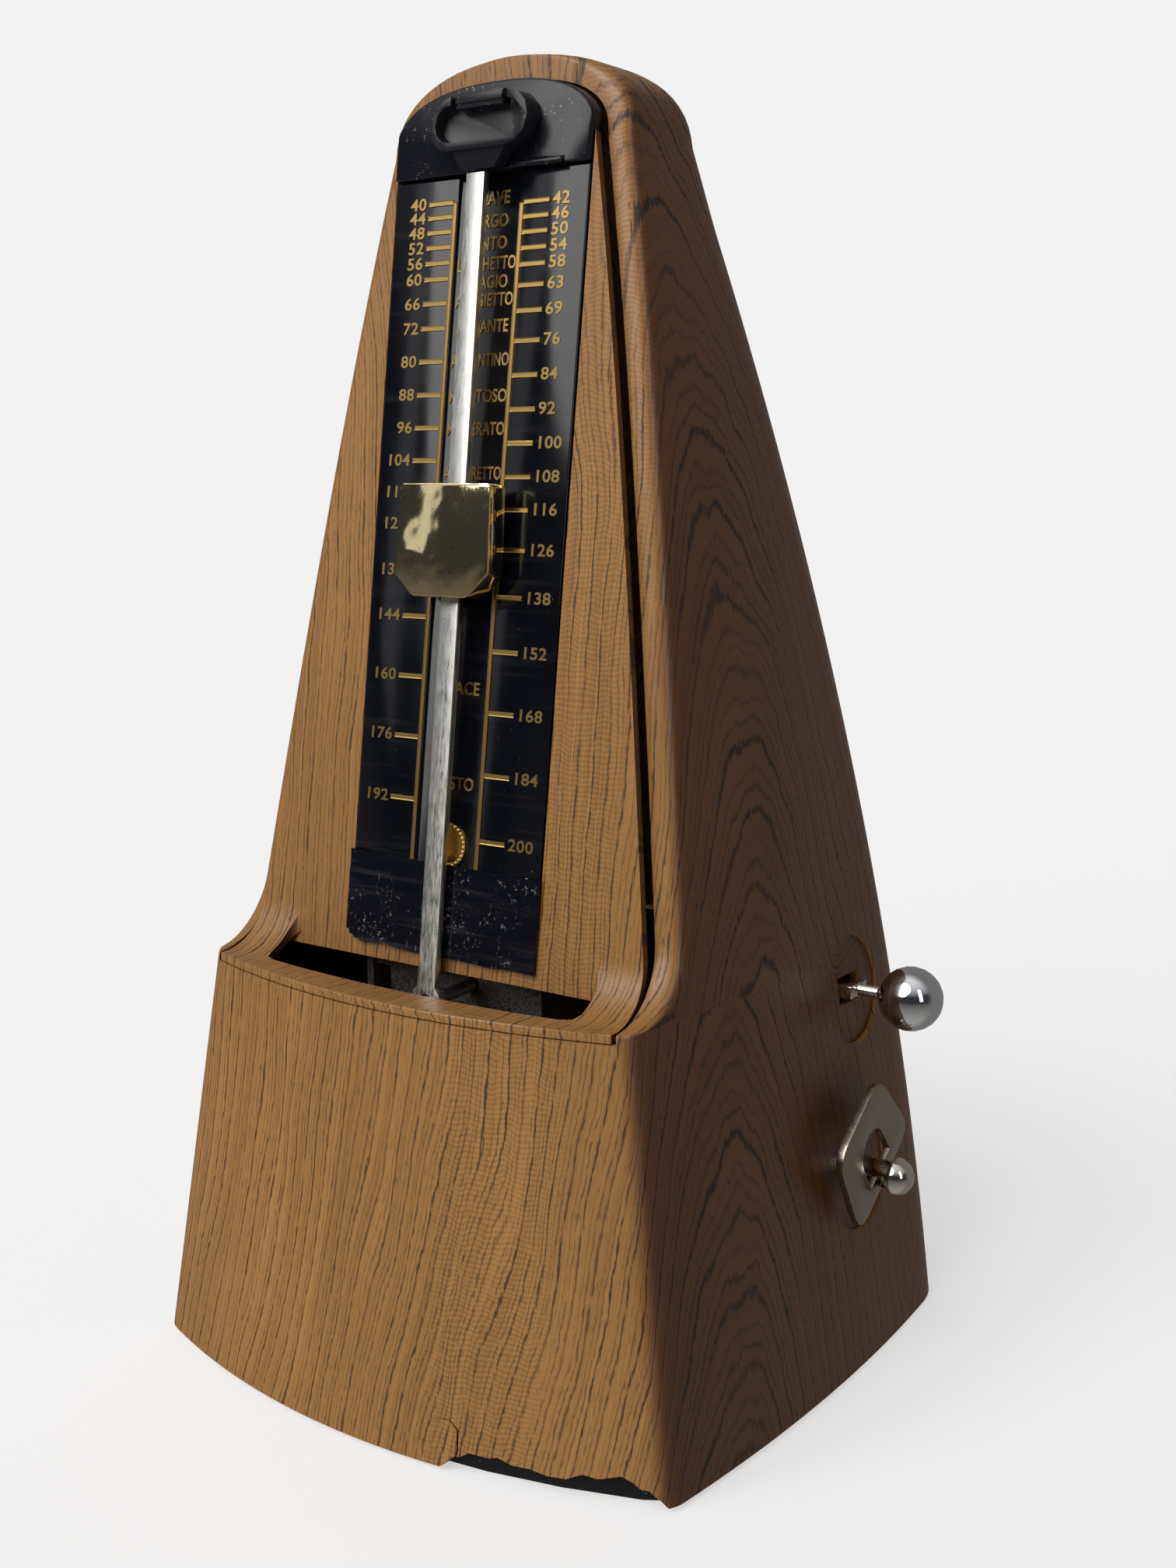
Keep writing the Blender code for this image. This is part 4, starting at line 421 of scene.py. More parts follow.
def oak_film():
    """Oak-print film: printed vinyl, satin, with dark pores along the growth rings and ray fleck, and painted
    shade on the case's sides.
    """
    made, tree, shader = new_material("oak_print_vinyl_film", Roughness=0.38, IOR=1.46)

    def maths(operation, first, second=None):
        node = add_node(tree, "ShaderNodeMath", operation=operation)
        for i, value in enumerate((first, second)):
            if isinstance(value, (int, float)):
                node.inputs[i].default_value = value
            elif value is not None:
                tree.links.new(value, node.inputs[i])
        return node.outputs[0]

    def noise_at(x, y, detail=2.0, rough=0.5, w=0.0):
        spot = add_node(tree, "ShaderNodeCombineXYZ", {2: w}, {0: x, 1: y})
        grain = add_node(tree, "ShaderNodeTexNoise", {"Scale": 1.0, "Detail": detail, "Roughness": rough},
                         {"Vector": spot.outputs[0]})
        return grain.outputs["Fac"]

    def band(value, low, high, start=0.0, end=1.0):
        return add_node(tree, "ShaderNodeMapRange", {1: low, 2: high, 3: start, 4: end}, {0: value},
                        interpolation_type="SMOOTHSTEP").outputs[0]

    def times(value, amount):
        return maths("MULTIPLY", value, amount)

    film = add_node(tree, "ShaderNodeUVMap", uv_map="film")
    split = add_node(tree, "ShaderNodeSeparateXYZ", links={0: film.outputs[0]})
    # Millimetres from here on: s round from the front's middle, z up.
    s, z = times(split.outputs[0], 1000.0), times(split.outputs[1], 1000.0)
    slow = noise_at(times(s, 1 / 26), times(z, 1 / 70), 1.0)
    sway = noise_at(times(s, 1 / 8), times(z, 1 / 24), 2.0, 0.5, 4.0)
    jag = noise_at(times(s, 1 / 0.55), times(z, 1 / 3.2), 2.0, 0.6, 9.0)
    # The cathedral's middle line: 76 mm round from the front's middle at the foot, nearer in high up.
    heart = maths("SUBTRACT", 77.0, times(times(z, z), 0.0011))
    before = maths("MAXIMUM", maths("SUBTRACT", heart, s), 0.0)
    beyond = maths("PINGPONG", maths("MAXIMUM", maths("SUBTRACT", s, heart), 0.0), 62.0)
    off = maths("MAXIMUM", before, beyond)
    off = maths("ADD", off, times(maths("SUBTRACT", slow, 0.5), 9.0))
    # Arches near the heart, rising 12.5 mm from ring to ring. More than 24 mm away the lines run straight.
    ring_rise, arch_reach, steepness = 12.5, 24.0, 0.09
    near = maths("MINIMUM", off, arch_reach)
    past = maths("MAXIMUM", maths("SUBTRACT", off, arch_reach), 0.0)
    arch = maths("ADD", times(times(near, near), steepness / ring_rise),
                 times(past, 2 * arch_reach * steepness / ring_rise))
    climb = maths("ADD", times(z, 1 / ring_rise), arch)
    phase = maths("ADD", climb, times(maths("SUBTRACT", sway, 0.5), 0.9))
    jagged = maths("ADD", phase, times(maths("SUBTRACT", jag, 0.5), 0.26))
    dash = band(noise_at(times(s, 1 / 0.34), times(z, 1 / 5.0), 2.0, 0.6, 2.0), 0.30, 0.48)
    rows = maths("FRACT", jagged)
    pores = None
    # Three rows of pores to a ring: where each lies, its half width and how dark it is.
    for middle, width, depth in ((0.16, 0.085, 1.0), (0.47, 0.055, 0.72), (0.74, 0.05, 0.5)):
        line = band(maths("ABSOLUTE", maths("SUBTRACT", rows, middle)), width * 0.35, width, depth, 0.0)
        pores = line if pores is None else maths("MAXIMUM", pores, line)
    each = noise_at(times(phase, 1.9), times(z, 1 / 34), 1.0, 0.5, 7.0)
    dark_pore = times(times(pores, dash), band(each, 0.30, 0.60, 0.5, 1.0))
    # Short fine pores all over, between the rings.
    fine = band(noise_at(times(s, 1 / 0.24), times(z, 1 / 2.6), 2.0, 0.6, 5.0), 0.58, 0.70)
    streak = noise_at(times(phase, 2.6), times(z, 1 / 90), 2.0, 0.6, 3.0)
    # Ray fleck: level ripples 0.85 mm apart, in a tall zone 25 mm right of the middle.
    fleck_pitch, fleck_middle = 0.85, 25.0
    wander = noise_at(times(s, 1 / 4.2), times(z, 1 / 15), 1.0, 0.5, 8.0)
    drift = times(maths("SUBTRACT", wander, 0.5), 3.4)
    ripple = maths("SINE", times(maths("ADD", z, drift), 2 * math.pi / fleck_pitch))
    aslant = maths("ADD", s, times(drift, 0.8))
    zone = band(maths("ABSOLUTE", maths("SUBTRACT", aslant, fleck_middle)), 6.0, 14.0, 1.0, 0.0)
    fleck = times(times(ripple, zone), 0.11)
    tone = maths("ADD", maths("ADD", times(streak, 0.55), times(slow, 0.35)), fleck)
    light = add_node(tree, "ShaderNodeValToRGB", links={0: tone})
    light.color_ramp.elements[0].position = 0.20
    light.color_ramp.elements[0].color = linear("#7c5427")
    light.color_ramp.elements[1].position = 0.66
    light.color_ramp.elements[1].color = linear("#a0723e")
    faint = add_node(tree, "ShaderNodeMix", {7: linear("#50351b")},
                     {0: times(fine, 0.50), 6: light.outputs[0]}, data_type="RGBA")
    pored = add_node(tree, "ShaderNodeMix", {7: linear("#26170a")},
                     {0: times(dark_pore, 0.88), 6: faint.outputs[2]}, data_type="RGBA")
    # Painted shade: where the film turns round onto the case's sides its colour is multiplied darker, as the
    # key light leaves that side dim.
    side_shade_node = add_node(tree, "ShaderNodeAttribute", attribute_name="side_shade_mask")
    painted_side_shade = add_node(tree, "ShaderNodeMix", {7: linear("#978672")},
                         {0: side_shade_node.outputs["Fac"], 6: pored.outputs[2]}, data_type="RGBA",
                         blend_type="MULTIPLY")
    tree.links.new(painted_side_shade.outputs[2], shader.inputs["Base Color"])
    height = maths("SUBTRACT", times(fine, -0.4), dark_pore)
    bump = add_node(tree, "ShaderNodeBump", {"Strength": 0.16, "Distance": 0.00008}, {"Height": height})
    tree.links.new(bump.outputs[0], shader.inputs["Normal"])
    tree.links.new(maths("ADD", times(dark_pore, 0.18), 0.36), shader.inputs["Roughness"])
    return made


def body_of(node):
    bodies = frame["record"]["behaviour"]["bodies"]
    return next(body for body, members in bodies.items() if node in members)


def slot_of(node):
    return next(part["material_slot"] for part in frame["record"]["subparts"] if part["node"] == node)


def stand_for(piece, node, *materials):
    """Give a piece its materials, hide the CAD node that it stands for, and carry the piece on that node's
    body.
    """
    piece.data.materials.clear()
    for material in materials:
        piece.data.materials.append(material)
    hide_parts(node)
    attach(piece, body_of(node))


film_material = oak_film()
bare_plastic, _, _ = new_material("black_abs_moulded_bare", Base_Color=linear("#1c1714"), Roughness=0.45,
                                  IOR=1.53)
inside = [face.material_index for face in case.data.polygons]
lay_film(case)
stand_for(case, "case_shell", film_material, bare_plastic)
for face, index in zip(case.data.polygons, inside):
    face.material_index = min(index, 1)


# Front panel. A second moulding under the same film, dropped into the case's opening with a fine gap all
# round. Its foot curves forward into a shelf over the case's front wall, slotted for the rod's swing.
PANEL_PROUD, PANEL_GAP, PANEL_TOP, PANEL_COLUMNS = 0.00275, 0.0006, 0.2147, 96
SLOT_HALF, SLOT_MARGIN, SLOT_BOW = 0.0338, 0.0066, 0.0024


def panel_face_y(z):
    return rim_y(z) - PANEL_PROUD


# A profile point is how far out it lies, with 0 at the face, 1 at the front corners and 2 at the front's bow,
# and its z.
turn_depth = panel_face_y(LEDGE_Z) - at_height(FRONT_Y, LEDGE_Z)
profile = [(0.0, PANEL_TOP - (PANEL_TOP - LEDGE_Z - turn_depth) * i / 60) for i in range(60)]
profile += [(1 - math.sin(math.radians(a)), LEDGE_Z + turn_depth * (1 - math.cos(math.radians(a))))
            for a in range(90, 3, -6)]
profile += [(1 + k, LEDGE_Z) for k in (0.0, 0.35, 0.7, 0.92)]
profile += [(2.0 - 0.05 * (1 - math.sin(math.radians(a))) if a < 90 else 2.0,
             LEDGE_Z - 0.0004 * (1 - math.cos(math.radians(a)))) for a in (30, 60, 90)]
profile += [(2.0, LEDGE_Z - SHELF_LIP + 0.0002)]
deselect()
bpy.ops.mesh.primitive_grid_add(x_subdivisions=PANEL_COLUMNS, y_subdivisions=len(profile) - 1, size=1.0)
panel = bpy.context.object
panel.name = "front_panel_cover"
for vertex in panel.data.vertices:
    share = 2 * vertex.co.x
    out, z = profile[round((0.5 - vertex.co.y) * (len(profile) - 1))]
    x = share * (window_half(max(z, LEDGE_Z), RIM_WIDTH + PANEL_GAP))
    front = at_height(FRONT_Y, LEDGE_Z) - FRONT_BOW[1] * (1 - (x / FRONT_HALF[1]) ** 2)
    y = panel_face_y(z) - turn_depth * min(out, 1.0)
    if out > 1.0:
        y += (front - y) * (out - 1.0)
    vertex.co = (x, y, z)
make_active(panel)
bpy.ops.object.mode_set(mode="EDIT")
bpy.ops.mesh.select_all(action="SELECT")
bpy.ops.mesh.normals_make_consistent(inside=False)
bpy.ops.object.mode_set(mode="OBJECT")
if panel.data.polygons[PANEL_COLUMNS * 20].normal.y > 0:
    panel.data.flip_normals()
back = panel.modifiers.new("wall", "SOLIDIFY")
back.thickness = SHELF_LIP - 0.0002
back.offset = -1.0
apply_all(panel)
slot_front = at_height(FRONT_Y, LEDGE_Z) - FRONT_BOW[1] + SLOT_MARGIN
slot_rear = panel_face_y(LEDGE_Z)
CORNER = 0.0022
slot_end = slot_front + SLOT_BOW
slot = [(-SLOT_HALF, slot_end + CORNER), (-SLOT_HALF + 0.0007, slot_end + 0.0004)]
slot += [(SLOT_HALF * share, slot_front + SLOT_BOW * share ** 2) for share in
         [2 * i / 24 - 1 for i in range(1, 24)]]
slot += [(SLOT_HALF - 0.0007, slot_end + 0.0004), (SLOT_HALF, slot_end + CORNER)]
for side in (1, -1):
    turns = range(0, 91, 15) if side > 0 else range(90, -1, -15)
    slot += [(side * (SLOT_HALF - CORNER + CORNER * math.cos(math.radians(a))),
              slot_rear - CORNER + CORNER * math.sin(math.radians(a))) for a in turns]
opening = cutter_from(slot, LEDGE_Z - 0.01, LEDGE_Z + 0.02, "XY")
for vertex in opening.data.vertices:
    lean = (vertex.co.z - LEDGE_Z) * RIM_SLOPE
    vertex.co.y += lean * max(0.0, min(1.0, (vertex.co.y - slot_front) / (slot_rear - slot_front)))
cut(panel, opening)
# Behind the slot the panel runs straight down, without the curve.
APRON_TOP, APRON_FOOT = LEDGE_Z + turn_depth + 0.0012, LEDGE_Z + 0.0012
APRON_SET_BACK, APRON_THICK = 0.00003, 0.0014
deselect()
bpy.ops.mesh.primitive_cube_add(size=1.0, location=(0, 0, (APRON_TOP + APRON_FOOT) / 2),
                                scale=(2 * SLOT_HALF + 0.003, APRON_THICK, APRON_TOP - APRON_FOOT))
apron = bpy.context.object
bpy.ops.object.transform_apply(location=True, rotation=True, scale=True)
for vertex in apron.data.vertices:
    vertex.co.y += panel_face_y(vertex.co.z) + APRON_SET_BACK + APRON_THICK / 2
join = panel.modifiers.new("apron", "BOOLEAN")
join.operation = "UNION"
join.solver = "EXACT"
join.object = apron
apply_all(panel)
remove(apron)
# The bay for the scale plate runs out through the panel's top.
BAY_HALF, BAY_FOOT, BAY_TOP = 0.0205, 0.0847, 0.25
bay = [(-BAY_HALF, BAY_FOOT), (BAY_HALF, BAY_FOOT), (BAY_HALF, BAY_TOP), (-BAY_HALF, BAY_TOP)]
cut(panel, cutter_from(bay, CUT_FRONT, 0.02, "XZ"))
ease = panel.modifiers.new("eased_edges", "BEVEL")
ease.width = 0.00035
ease.segments = 2
ease.limit_method = "ANGLE"
ease.angle_limit = math.radians(60)
apply_all(panel)
bpy.ops.object.shade_smooth_by_angle(angle=math.radians(40))
lay_film(panel)
stand_for(panel, "front_panel", film_material)


# Scale plate. Injection-moulded black polystyrene, glossy, with a shallow channel behind the rod.
def black_gloss(name, base, rough, dust, wipe=0.0):
    """Glossy black plastic with specks of dust, and faint wiping marks that stretch level across it."""
    made, tree, shader = new_material(name, IOR=1.49, Roughness=rough, Specular_IOR_Level=0.35)
    where = add_node(tree, "ShaderNodeTexCoord")
    specks = add_node(tree, "ShaderNodeTexNoise", {"Scale": 1 / 0.0008, "Detail": 3.0, "Roughness": 0.75},
                      {"Vector": where.outputs["Object"]})
    patches = add_node(tree, "ShaderNodeTexNoise", {"Scale": 1 / 0.010, "Detail": 2.0},
                       {"Vector": where.outputs["Object"]})
    level = add_node(tree, "ShaderNodeMapping", {"Scale": (1 / 0.030, 1 / 0.030, 1 / 0.0022)},
                     {"Vector": where.outputs["Object"]})
    wiped = add_node(tree, "ShaderNodeTexNoise", {"Scale": 1.0, "Detail": 3.0, "Roughness": 0.6},
                     {"Vector": level.outputs[0]})
    cut_off = add_node(tree, "ShaderNodeMapRange", {1: 0.70 - dust, 2: 0.78 - dust},
                       {0: specks.outputs["Fac"]})
    area = add_node(tree, "ShaderNodeMapRange", {1: 0.48, 2: 0.66}, {0: patches.outputs["Fac"]})
    smear = add_node(tree, "ShaderNodeMapRange", {1: 0.55, 2: 0.75, 3: 0.0, 4: wipe},
                     {0: wiped.outputs["Fac"]})
    dusty = add_node(tree, "ShaderNodeMath", links={0: cut_off.outputs[0], 1: area.outputs[0]},
                     operation="MULTIPLY")
    amount = add_node(tree, "ShaderNodeMath", links={0: dusty.outputs[0], 1: smear.outputs[0]},
                      operation="MAXIMUM")
    colour = add_node(tree, "ShaderNodeMix", {6: linear(base), 7: linear("#a3a3a6")},
                      {0: amount.outputs[0]}, data_type="RGBA")
    tree.links.new(colour.outputs[2], shader.inputs["Base Color"])
    gloss = add_node(tree, "ShaderNodeMapRange", {1: 0.3, 2: 0.7, 3: rough * 0.8, 4: rough * 1.3},
                     {0: patches.outputs["Fac"]})
    tree.links.new(gloss.outputs[0], shader.inputs["Roughness"])
    return made


def smooth_copy(node, name, angle=32, bevel=0.0, segments=2):
    """A merged, smooth-shaded copy of a CAD node that stands for it, with its sharp edges eased."""
    made = nodes[node].copy()
    made.data = nodes[node].data.copy()
    made.name = name
    made.parent = None
    for key in list(made.keys()):
        del made[key]
    bpy.context.scene.collection.objects.link(made)
    make_active(made)
    bpy.ops.object.mode_set(mode="EDIT")
    bpy.ops.mesh.select_all(action="SELECT")
    bpy.ops.mesh.remove_doubles(threshold=2e-6)
    bpy.ops.mesh.dissolve_limited(angle_limit=math.radians(0.05))
    bpy.ops.object.mode_set(mode="OBJECT")
    if bevel:
        ease = made.modifiers.new("eased_edges", "BEVEL")
        ease.width = bevel
        ease.segments = segments
        ease.limit_method = "ANGLE"
        ease.angle_limit = math.radians(38)
        bpy.ops.object.modifier_apply(modifier=ease.name)
    bpy.ops.object.shade_smooth_by_angle(angle=math.radians(angle))
    stand_for(made, node)
    return made


plate = smooth_copy("scale_plate", "scale_plate_moulding", bevel=0.0003)
plate.data.materials.append(black_gloss("black_polystyrene_gloss", "#05070e", 0.14, 0.0, 0.02))


# Scale print. Gold foil, pressed on hot, in raised bars, rails, figures and tempo words.
PLATE_PROUD, FOIL_HALF = 0.0031, 0.00010


def on_plate(x, z, proud=PLATE_PROUD):
    return Vector((x, rim_y(z) - proud, z))


UPRIGHT = Matrix.Rotation(math.radians(90) - math.atan(RIM_SLOPE), 4, "X")
# The height of the rod's staff, the lower bob's moment and the fixed parts' inertia, both over the weight's
# mass, and the share of gravity that is left once the wide swing is allowed for.
STAFF_Z, SWING_LENGTH, SWING_AREA, GRAVITY_SHARE = 0.0700, 0.1472, 0.009566, 0.9704


def beat_height(beats):
    """The height of a beat's mark, from the swing of the rod with its weight (metres)."""
    rate = math.pi * beats / 60
    k = GRAVITY_SHARE * 9.81 / rate ** 2
    along = -k / 2 + math.sqrt(k * k / 4 + k * SWING_LENGTH - SWING_AREA)
    return STAFF_Z + along / math.sqrt(1 + RIM_SLOPE ** 2)


foil, _, _ = new_material("gold_hot_foil", Metallic=1.0, Base_Color=linear("#e2bd74"), Roughness=0.30)
LEFT_BEATS = (40, 44, 48, 52, 56, 60, 66, 72, 80, 88, 96, 104, 112, 120, 132, 144, 160, 176, 192, 208)
RIGHT_BEATS = (42, 46, 50, 54, 58, 63, 69, 76, 84, 92, 100, 108, 116, 126, 138, 152, 168, 184, 200)


def foil_bar(low_x, high_x, low_z, high_z, proud=PLATE_PROUD, thick=0.00016):
    """A raised bar with a sunk middle, its outline catching the light."""
    centre = on_plate((low_x + high_x) / 2, (low_z + high_z) / 2, proud)
    bpy.ops.mesh.primitive_cube_add(size=1.0)
    bar = bpy.context.object
    bar.matrix_world = Matrix.Translation(centre) @ UPRIGHT @ Matrix.Diagonal(
        (high_x - low_x, high_z - low_z, 2 * thick, 1))
    bpy.ops.object.transform_apply(location=True, rotation=True, scale=True)
    bpy.ops.object.mode_set(mode="EDIT")
    bpy.ops.mesh.select_mode(type="FACE")
    bpy.ops.mesh.select_all(action="DESELECT")
    bpy.ops.object.mode_set(mode="OBJECT")
    for face in bar.data.polygons:
        face.select = face.normal.y < -0.9
    bpy.ops.object.mode_set(mode="EDIT")
    bpy.ops.mesh.inset(thickness=0.00016, depth=-0.00010)
    bpy.ops.object.mode_set(mode="OBJECT")
    return bar


def joined(pieces, name):
    deselect()
    for piece in pieces:
        piece.select_set(True)
    bpy.context.view_layer.objects.active = pieces[0]
    bpy.ops.object.join()
    made = bpy.context.object
    made.name = name
    return made


def gild(piece):
    """Print a piece in foil, on the case."""
    piece.data.materials.clear()
    piece.data.materials.append(foil)
    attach(piece, "case")


def tick(low_x, high_x, beats):
    return foil_bar(low_x, high_x, beat_height(beats) - TICK_HALF, beat_height(beats) + TICK_HALF)


RAIL_IN, RAIL_OUT, RAIL_FOOT, RAIL_SPARE = 0.0066, 0.0074, 0.0880, 0.0005
TICK_OUT, TICK_HALF = 0.0127, 0.0004
bars = [foil_bar(-RAIL_OUT, -RAIL_IN, RAIL_FOOT, beat_height(LEFT_BEATS[0]) + RAIL_SPARE),
        foil_bar(RAIL_IN, RAIL_OUT, RAIL_FOOT, beat_height(RIGHT_BEATS[0]) + RAIL_SPARE)]
bars += [tick(-TICK_OUT, -RAIL_OUT, b) for b in LEFT_BEATS]
bars += [tick(RAIL_OUT, TICK_OUT, b) for b in RIGHT_BEATS]
gild(joined(bars, "scale_rule"))


def foil_text(words, x, z, size, stretch, align, proud=PLATE_PROUD):
    """Raised lettering on the plate; size is the height of its capitals in metres."""
    bpy.ops.object.text_add()
    text = bpy.context.object
    text.data.body = words
    text.data.size = size / 0.72
    text.data.align_x = align
    text.data.align_y = "CENTER"
    text.data.extrude = FOIL_HALF
    text.data.offset = 0.00005
    text.data.space_character = 1.05
    text.data.resolution_u = 3
    bpy.ops.object.convert(target="MESH")
    text = bpy.context.object
    text.matrix_world = (Matrix.Translation(on_plate(x, z, proud)) @ UPRIGHT
                         @ Matrix.Diagonal((stretch, 1, 1, 1)))
    bpy.ops.object.transform_apply(location=True, rotation=True, scale=True)
    return text


FIGURE_HEIGHT, FIGURE_STRETCH = 0.0020, 1.22
figure_x = TICK_OUT + 0.0006
figures = []
for beats, x, align in ((LEFT_BEATS, -figure_x, "RIGHT"), (RIGHT_BEATS, figure_x, "LEFT")):
    figures += [foil_text(str(b), x, beat_height(b), FIGURE_HEIGHT, FIGURE_STRETCH, align) for b in beats]
gild(joined(figures, "scale_figures"))

# The words stand in the channel, between the heights of the beats that they name, in millimetres.
TEMPO_WORDS = (("GRAVE", 203.2), ("LARGO", 199.5), ("LENTO", 195.9), ("LARGHETTO", 192.6),
               ("ADAGIO", 189.6), ("ADAGIETTO", 186.7), ("ANDANTE", 182.4), ("ANDANTINO", 176.9),
               ("MAESTOSO", 171.0), ("MODERATO", 165.6), ("ALLEGRETTO", 158.3), ("ANIMATO", 150.0),
               ("ALLEGRO", 141.0), ("VIVACE", 122.6), ("PRESTO", 106.6))
CHANNEL_PROUD = PLATE_PROUD - 0.0006
WORD_HEIGHT, WORD_WIDTH, LETTER_PITCH = 0.0022, 0.0122, 0.00158
words = []
for word, height in TEMPO_WORDS:
    made = foil_text(word, 0, height / 1000, WORD_HEIGHT, 1.0, "CENTER", CHANNEL_PROUD)
    wide = max(v.co.x for v in made.data.vertices) - min(v.co.x for v in made.data.vertices)
    target = min(WORD_WIDTH, LETTER_PITCH * len(word))
    for vertex in made.data.vertices:
        vertex.co.x *= target / wide
    words.append(made)
gild(joined(words, "tempo_words"))

# A plain round boss with a beaded edge closes the foot of the scale.
BOSS_RADIUS, BOSS_Z, BEADS, BEAD_RADIUS = 0.0040, 0.0962, 28, 0.00030
bead_ring = BOSS_RADIUS - 0.0004
deselect()
bpy.ops.mesh.primitive_cylinder_add(vertices=56, radius=BOSS_RADIUS, depth=0.0003)
disc = bpy.context.object
bpy.ops.object.mode_set(mode="EDIT")
bpy.ops.mesh.select_mode(type="FACE")
bpy.ops.mesh.select_all(action="DESELECT")
bpy.ops.object.mode_set(mode="OBJECT")
for face in disc.data.polygons:
    face.select = face.normal.z > 0.9
bpy.ops.object.mode_set(mode="EDIT")
bpy.ops.mesh.inset(thickness=0.0007, depth=0)
bpy.ops.mesh.inset(thickness=0.0002, depth=-0.00015)
bpy.ops.mesh.inset(thickness=0.0012, depth=0.00012)
bpy.ops.object.mode_set(mode="OBJECT")
parts = [disc]
for i in range(BEADS):
    angle = 2 * math.pi * i / BEADS
    bpy.ops.mesh.primitive_ico_sphere_add(subdivisions=1, radius=BEAD_RADIUS, location=(
        bead_ring * math.cos(angle), bead_ring * math.sin(angle), 0.00018))
    parts.append(bpy.context.object)
    bpy.ops.object.transform_apply(location=True, rotation=True, scale=True)
boss = joined(parts, "scale_boss")
boss.matrix_world = Matrix.Translation(on_plate(0, BOSS_Z, CHANNEL_PROUD + 0.0001)) @ UPRIGHT
bpy.ops.object.transform_apply(location=True, rotation=True, scale=True)
gild(boss)


# Cover tape. A strip of glossy black vinyl tape stuck over the plate's foot, wrinkled and torn at one corner.
tape_low, tape_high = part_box("cover_tape")
deselect()
bpy.ops.mesh.primitive_grid_add(x_subdivisions=150, y_subdivisions=60, size=1.0)
tape = bpy.context.object
tape.name = "cover_tape_strip"
# The torn foot: up to each share of the strip's width, its foot stands this much higher.
TORN_STEPS = ((0.020, 0.0020), (0.045, 0.0012), (0.075, 0.0007), (0.24, 0.0003))
# Bubbles: where each lies (x, z), its width and its height.
BUBBLES = ((-0.012, 0.0880, 0.004, 0.00012), (0.011, 0.0905, 0.005, 0.00010),
           (0.015, 0.0815, 0.003, 0.00008))
TAPE_PROUD = PLATE_PROUD + 0.00042


def fold(x, z):
    """A few long level creases, fine ripples, and a bubble or two that the tape was laid over."""
    crease = (0.00006 * noise.noise(Vector((x * 28, z * 520, 1.7)))
              + 0.00003 * noise.noise(Vector((x * 150, z * 700, 5))))
    bubble = sum(size * math.exp(-((x - u) ** 2 + 3 * (z - v) ** 2) / wide ** 2)
                 for u, v, wide, size in BUBBLES)
    return crease + bubble


for vertex in tape.data.vertices:
    u, v = vertex.co.x + 0.5, vertex.co.y + 0.5
    x = tape_low.x + (tape_high.x - tape_low.x) * u
    torn = max([rise for reach, rise in TORN_STEPS if u < reach] or [0.0])
    foot = tape_low.z + torn + 0.0004 * noise.noise(Vector((x * 140, 3.1, 0)))
    head = tape_high.z - 0.0004 + 0.0003 * noise.noise(Vector((x * 120, 9.4, 0))) - 0.0005 * u
    z = foot + (head - foot) * v
    x += 0.0002 * noise.noise(Vector((0, z * 300, 7))) * (2 * u - 1)
    vertex.co = on_plate(x, z, TAPE_PROUD + fold(x, z))
make_active(tape)
if tape.data.polygons[0].normal.y > 0:
    tape.data.flip_normals()
wall = tape.modifiers.new("tape_thickness", "SOLIDIFY")
wall.thickness = 0.00016
apply_all(tape)
bpy.ops.object.shade_smooth_by_angle(angle=math.radians(50))
stand_for(tape, "cover_tape", black_gloss("black_vinyl_tape", "#070912", 0.16, 0.10, 0.05))


# Top bezel and catch. The same black moulding closes the arch, and carries the nose that holds the lid and
# parks the rod's tip.
dusty_black = black_gloss("black_abs_dusty", "#0a0c14", 0.24, 0.07)
bezel = smooth_copy("top_bezel", "top_bezel_moulding", bevel=0.0004)
bezel.data.materials.append(dusty_black)
catch = smooth_copy("pendulum_catch", "pendulum_catch_moulding", bevel=0.0003)
catch.data.materials.append(black_gloss("black_abs_satin", "#15161b", 0.32, 0.05))


# Rod, weight and their metals. The rod is bright flat steel, scratched lengthwise; the weight is gilt brass.
def worn_metal(name, base, rough, scratch_axis=None, speck="#5a4020", speck_amount=0.0, ripple=0.0):
    """Polished or drawn metal: fine scratches along one axis, small tarnish specks, and a slow ripple."""
    made, tree, shader = new_material(name, Metallic=1.0, Roughness=rough)
    where = add_node(tree, "ShaderNodeTexCoord")
    stretch = [1 / 0.0004] * 3
    if scratch_axis is not None:
        stretch[scratch_axis] = 1 / 0.014
    scale = add_node(tree, "ShaderNodeMapping", {"Scale": stretch}, {"Vector": where.outputs["Object"]})
    lines = add_node(tree, "ShaderNodeTexNoise", {"Scale": 1.0, "Detail": 3.0, "Roughness": 0.7},
                     {"Vector": scale.outputs[0]})
    dirt = add_node(tree, "ShaderNodeTexNoise", {"Scale": 1 / 0.0007, "Detail": 3.0, "Roughness": 0.65},
                    {"Vector": where.outputs["Object"]})
    waves = add_node(tree, "ShaderNodeTexNoise", {"Scale": 1 / 0.0045, "Detail": 1.0, "Roughness": 0.4},
                     {"Vector": where.outputs["Object"]})
    cut_off = add_node(tree, "ShaderNodeMapRange", {1: 0.72 - speck_amount, 2: 0.78 - speck_amount},
                       {0: dirt.outputs["Fac"]})
    colour = add_node(tree, "ShaderNodeMix", {6: linear(base), 7: linear(speck)}, {0: cut_off.outputs[0]},
                      data_type="RGBA")
    tree.links.new(colour.outputs[2], shader.inputs["Base Color"])
    gloss = add_node(tree, "ShaderNodeMapRange", {1: 0.3, 2: 0.75, 3: rough * 0.6, 4: rough * 1.7},
                     {0: lines.outputs["Fac"]})
    tree.links.new(gloss.outputs[0], shader.inputs["Roughness"])
    fine = add_node(tree, "ShaderNodeBump", {"Strength": 0.10, "Distance": 0.00005},
                    {"Height": lines.outputs["Fac"]})
    broad = add_node(tree, "ShaderNodeBump", {"Strength": ripple, "Distance": 0.0004},
                     {"Height": waves.outputs["Fac"], "Normal": fine.outputs[0]})
    tree.links.new(broad.outputs[0], shader.inputs["Normal"])
    return made
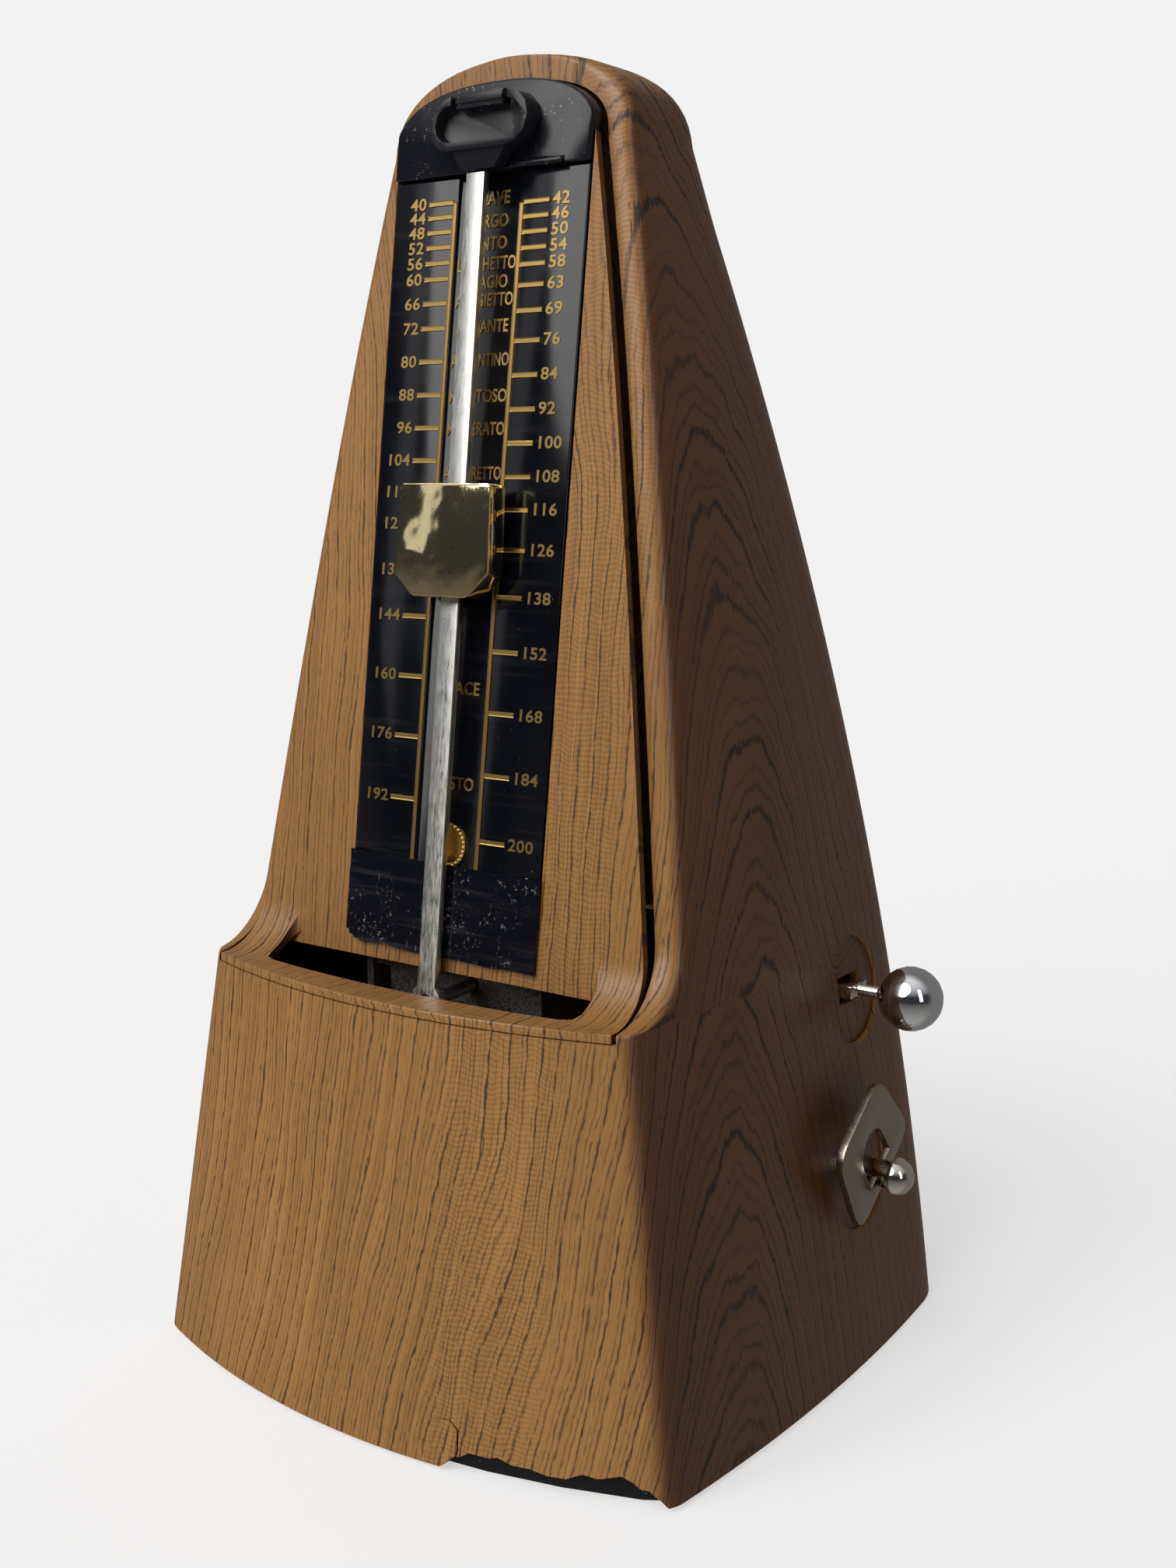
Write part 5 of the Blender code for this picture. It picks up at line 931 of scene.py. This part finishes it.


# The strip is drawn bare steel. Low down its colour is mixed paler, a painted brighter reflection on the
# rod's foot.
bright_steel = worn_metal("drawn_steel_bright", "#b6b5b2", 0.34, 2, "#55544f", 0.03, 0.25)
tree = bright_steel.node_tree
shader = tree.nodes["Principled BSDF"]
steel_colour_link = shader.inputs["Base Color"].links[0].from_socket
where = add_node(tree, "ShaderNodeTexCoord")
place = add_node(tree, "ShaderNodeSeparateXYZ", links={0: where.outputs["Object"]})
SHEEN_LOW, SHEEN_HIGH = 0.070, 0.130
# Painted reflection: the steel's colour is paler towards the rod's foot.
foot_sheen = add_node(tree, "ShaderNodeMapRange", {1: SHEEN_LOW, 2: SHEEN_HIGH, 3: 0.70, 4: 0.0},
                {0: place.outputs[2]}, interpolation_type="SMOOTHSTEP")
painted_foot_sheen = add_node(tree, "ShaderNodeMix", {7: linear("#d2cec3")}, {0: foot_sheen.outputs[0], 6: steel_colour_link},
                  data_type="RGBA")
tree.links.new(painted_foot_sheen.outputs[2], shader.inputs["Base Color"])
rod = smooth_copy("pendulum_rod", "pendulum_rod_strip", bevel=0.0002)
rod.data.materials.append(bright_steel)
weight = smooth_copy("sliding_weight", "sliding_weight_block", bevel=0.0003, segments=2)
weight.data.materials.append(worn_metal("gilt_brass_polished", "#e6d6a6", 0.07, None, "#6d5426", 0.07, 0.5))
bob = smooth_copy("lower_bob", "lower_bob_casting", bevel=0.0005)
bob.data.materials.append(worn_metal("grey_iron_cast", "#4c4b4a", 0.55, None, "#2e2622", 0.1))


# Winding key, shaft and bell knob. Nickel-plated stampings and turnings, and a chromed ball.
nickel = worn_metal("nickel_plate_satin", "#9a9184", 0.24, None, "#5c5348", 0.02)
polished = worn_metal("nickel_plate_polished", "#cfcac2", 0.08, None, "#5c5348", 0.0)
key = smooth_copy("winding_key", "winding_key_plate", bevel=0.0003, segments=3)
key.data.materials.append(nickel)
shaft = smooth_copy("winding_arbor", "winding_arbor_turned", bevel=0.0001)
shaft.data.materials.append(polished)
chrome = worn_metal("chrome_plate", "#dadbde", 0.05, None, "#77787a", 0.0)
knob = smooth_copy("selector_knob", "selector_knob_ball", angle=40)
knob.data.materials.append(chrome)
bar = smooth_copy("selector_bar", "selector_bar_strip", bevel=0.0002)
bar.data.materials.append(polished)


# Base tray, feet, movement and bell. Seen through the slot and from below.
tray = smooth_copy("base_tray", "base_tray_moulding", bevel=0.0003)
tray.data.materials.append(black_gloss("black_polypropylene", "#0d0e12", 0.4, 0.06))
rubber, _, _ = new_material("black_rubber_moulded", Base_Color=linear("#17171a"), Roughness=0.75)
brass = worn_metal("brass_turned", "#c9a252", 0.28, None, "#6d5426", 0.05)
steel = worn_metal("steel_plain", "#b4b2ae", 0.35, None, "#6b6a66", 0.03)
LOOKS = {"rubber": rubber, "brass": brass, "steel": steel, "nickel": polished}
REMADE = ("case_shell", "front_panel", "scale_plate", "cover_tape", "top_bezel", "pendulum_catch",
          "pendulum_rod", "sliding_weight", "lower_bob", "winding_key", "winding_arbor", "selector_knob",
          "selector_bar", "base_tray")
for node, thing in nodes.items():
    if node in REMADE:
        continue
    look = LOOKS.get(slot_of(node), steel)
    thing.data.materials.clear()
    thing.data.materials.append(look)
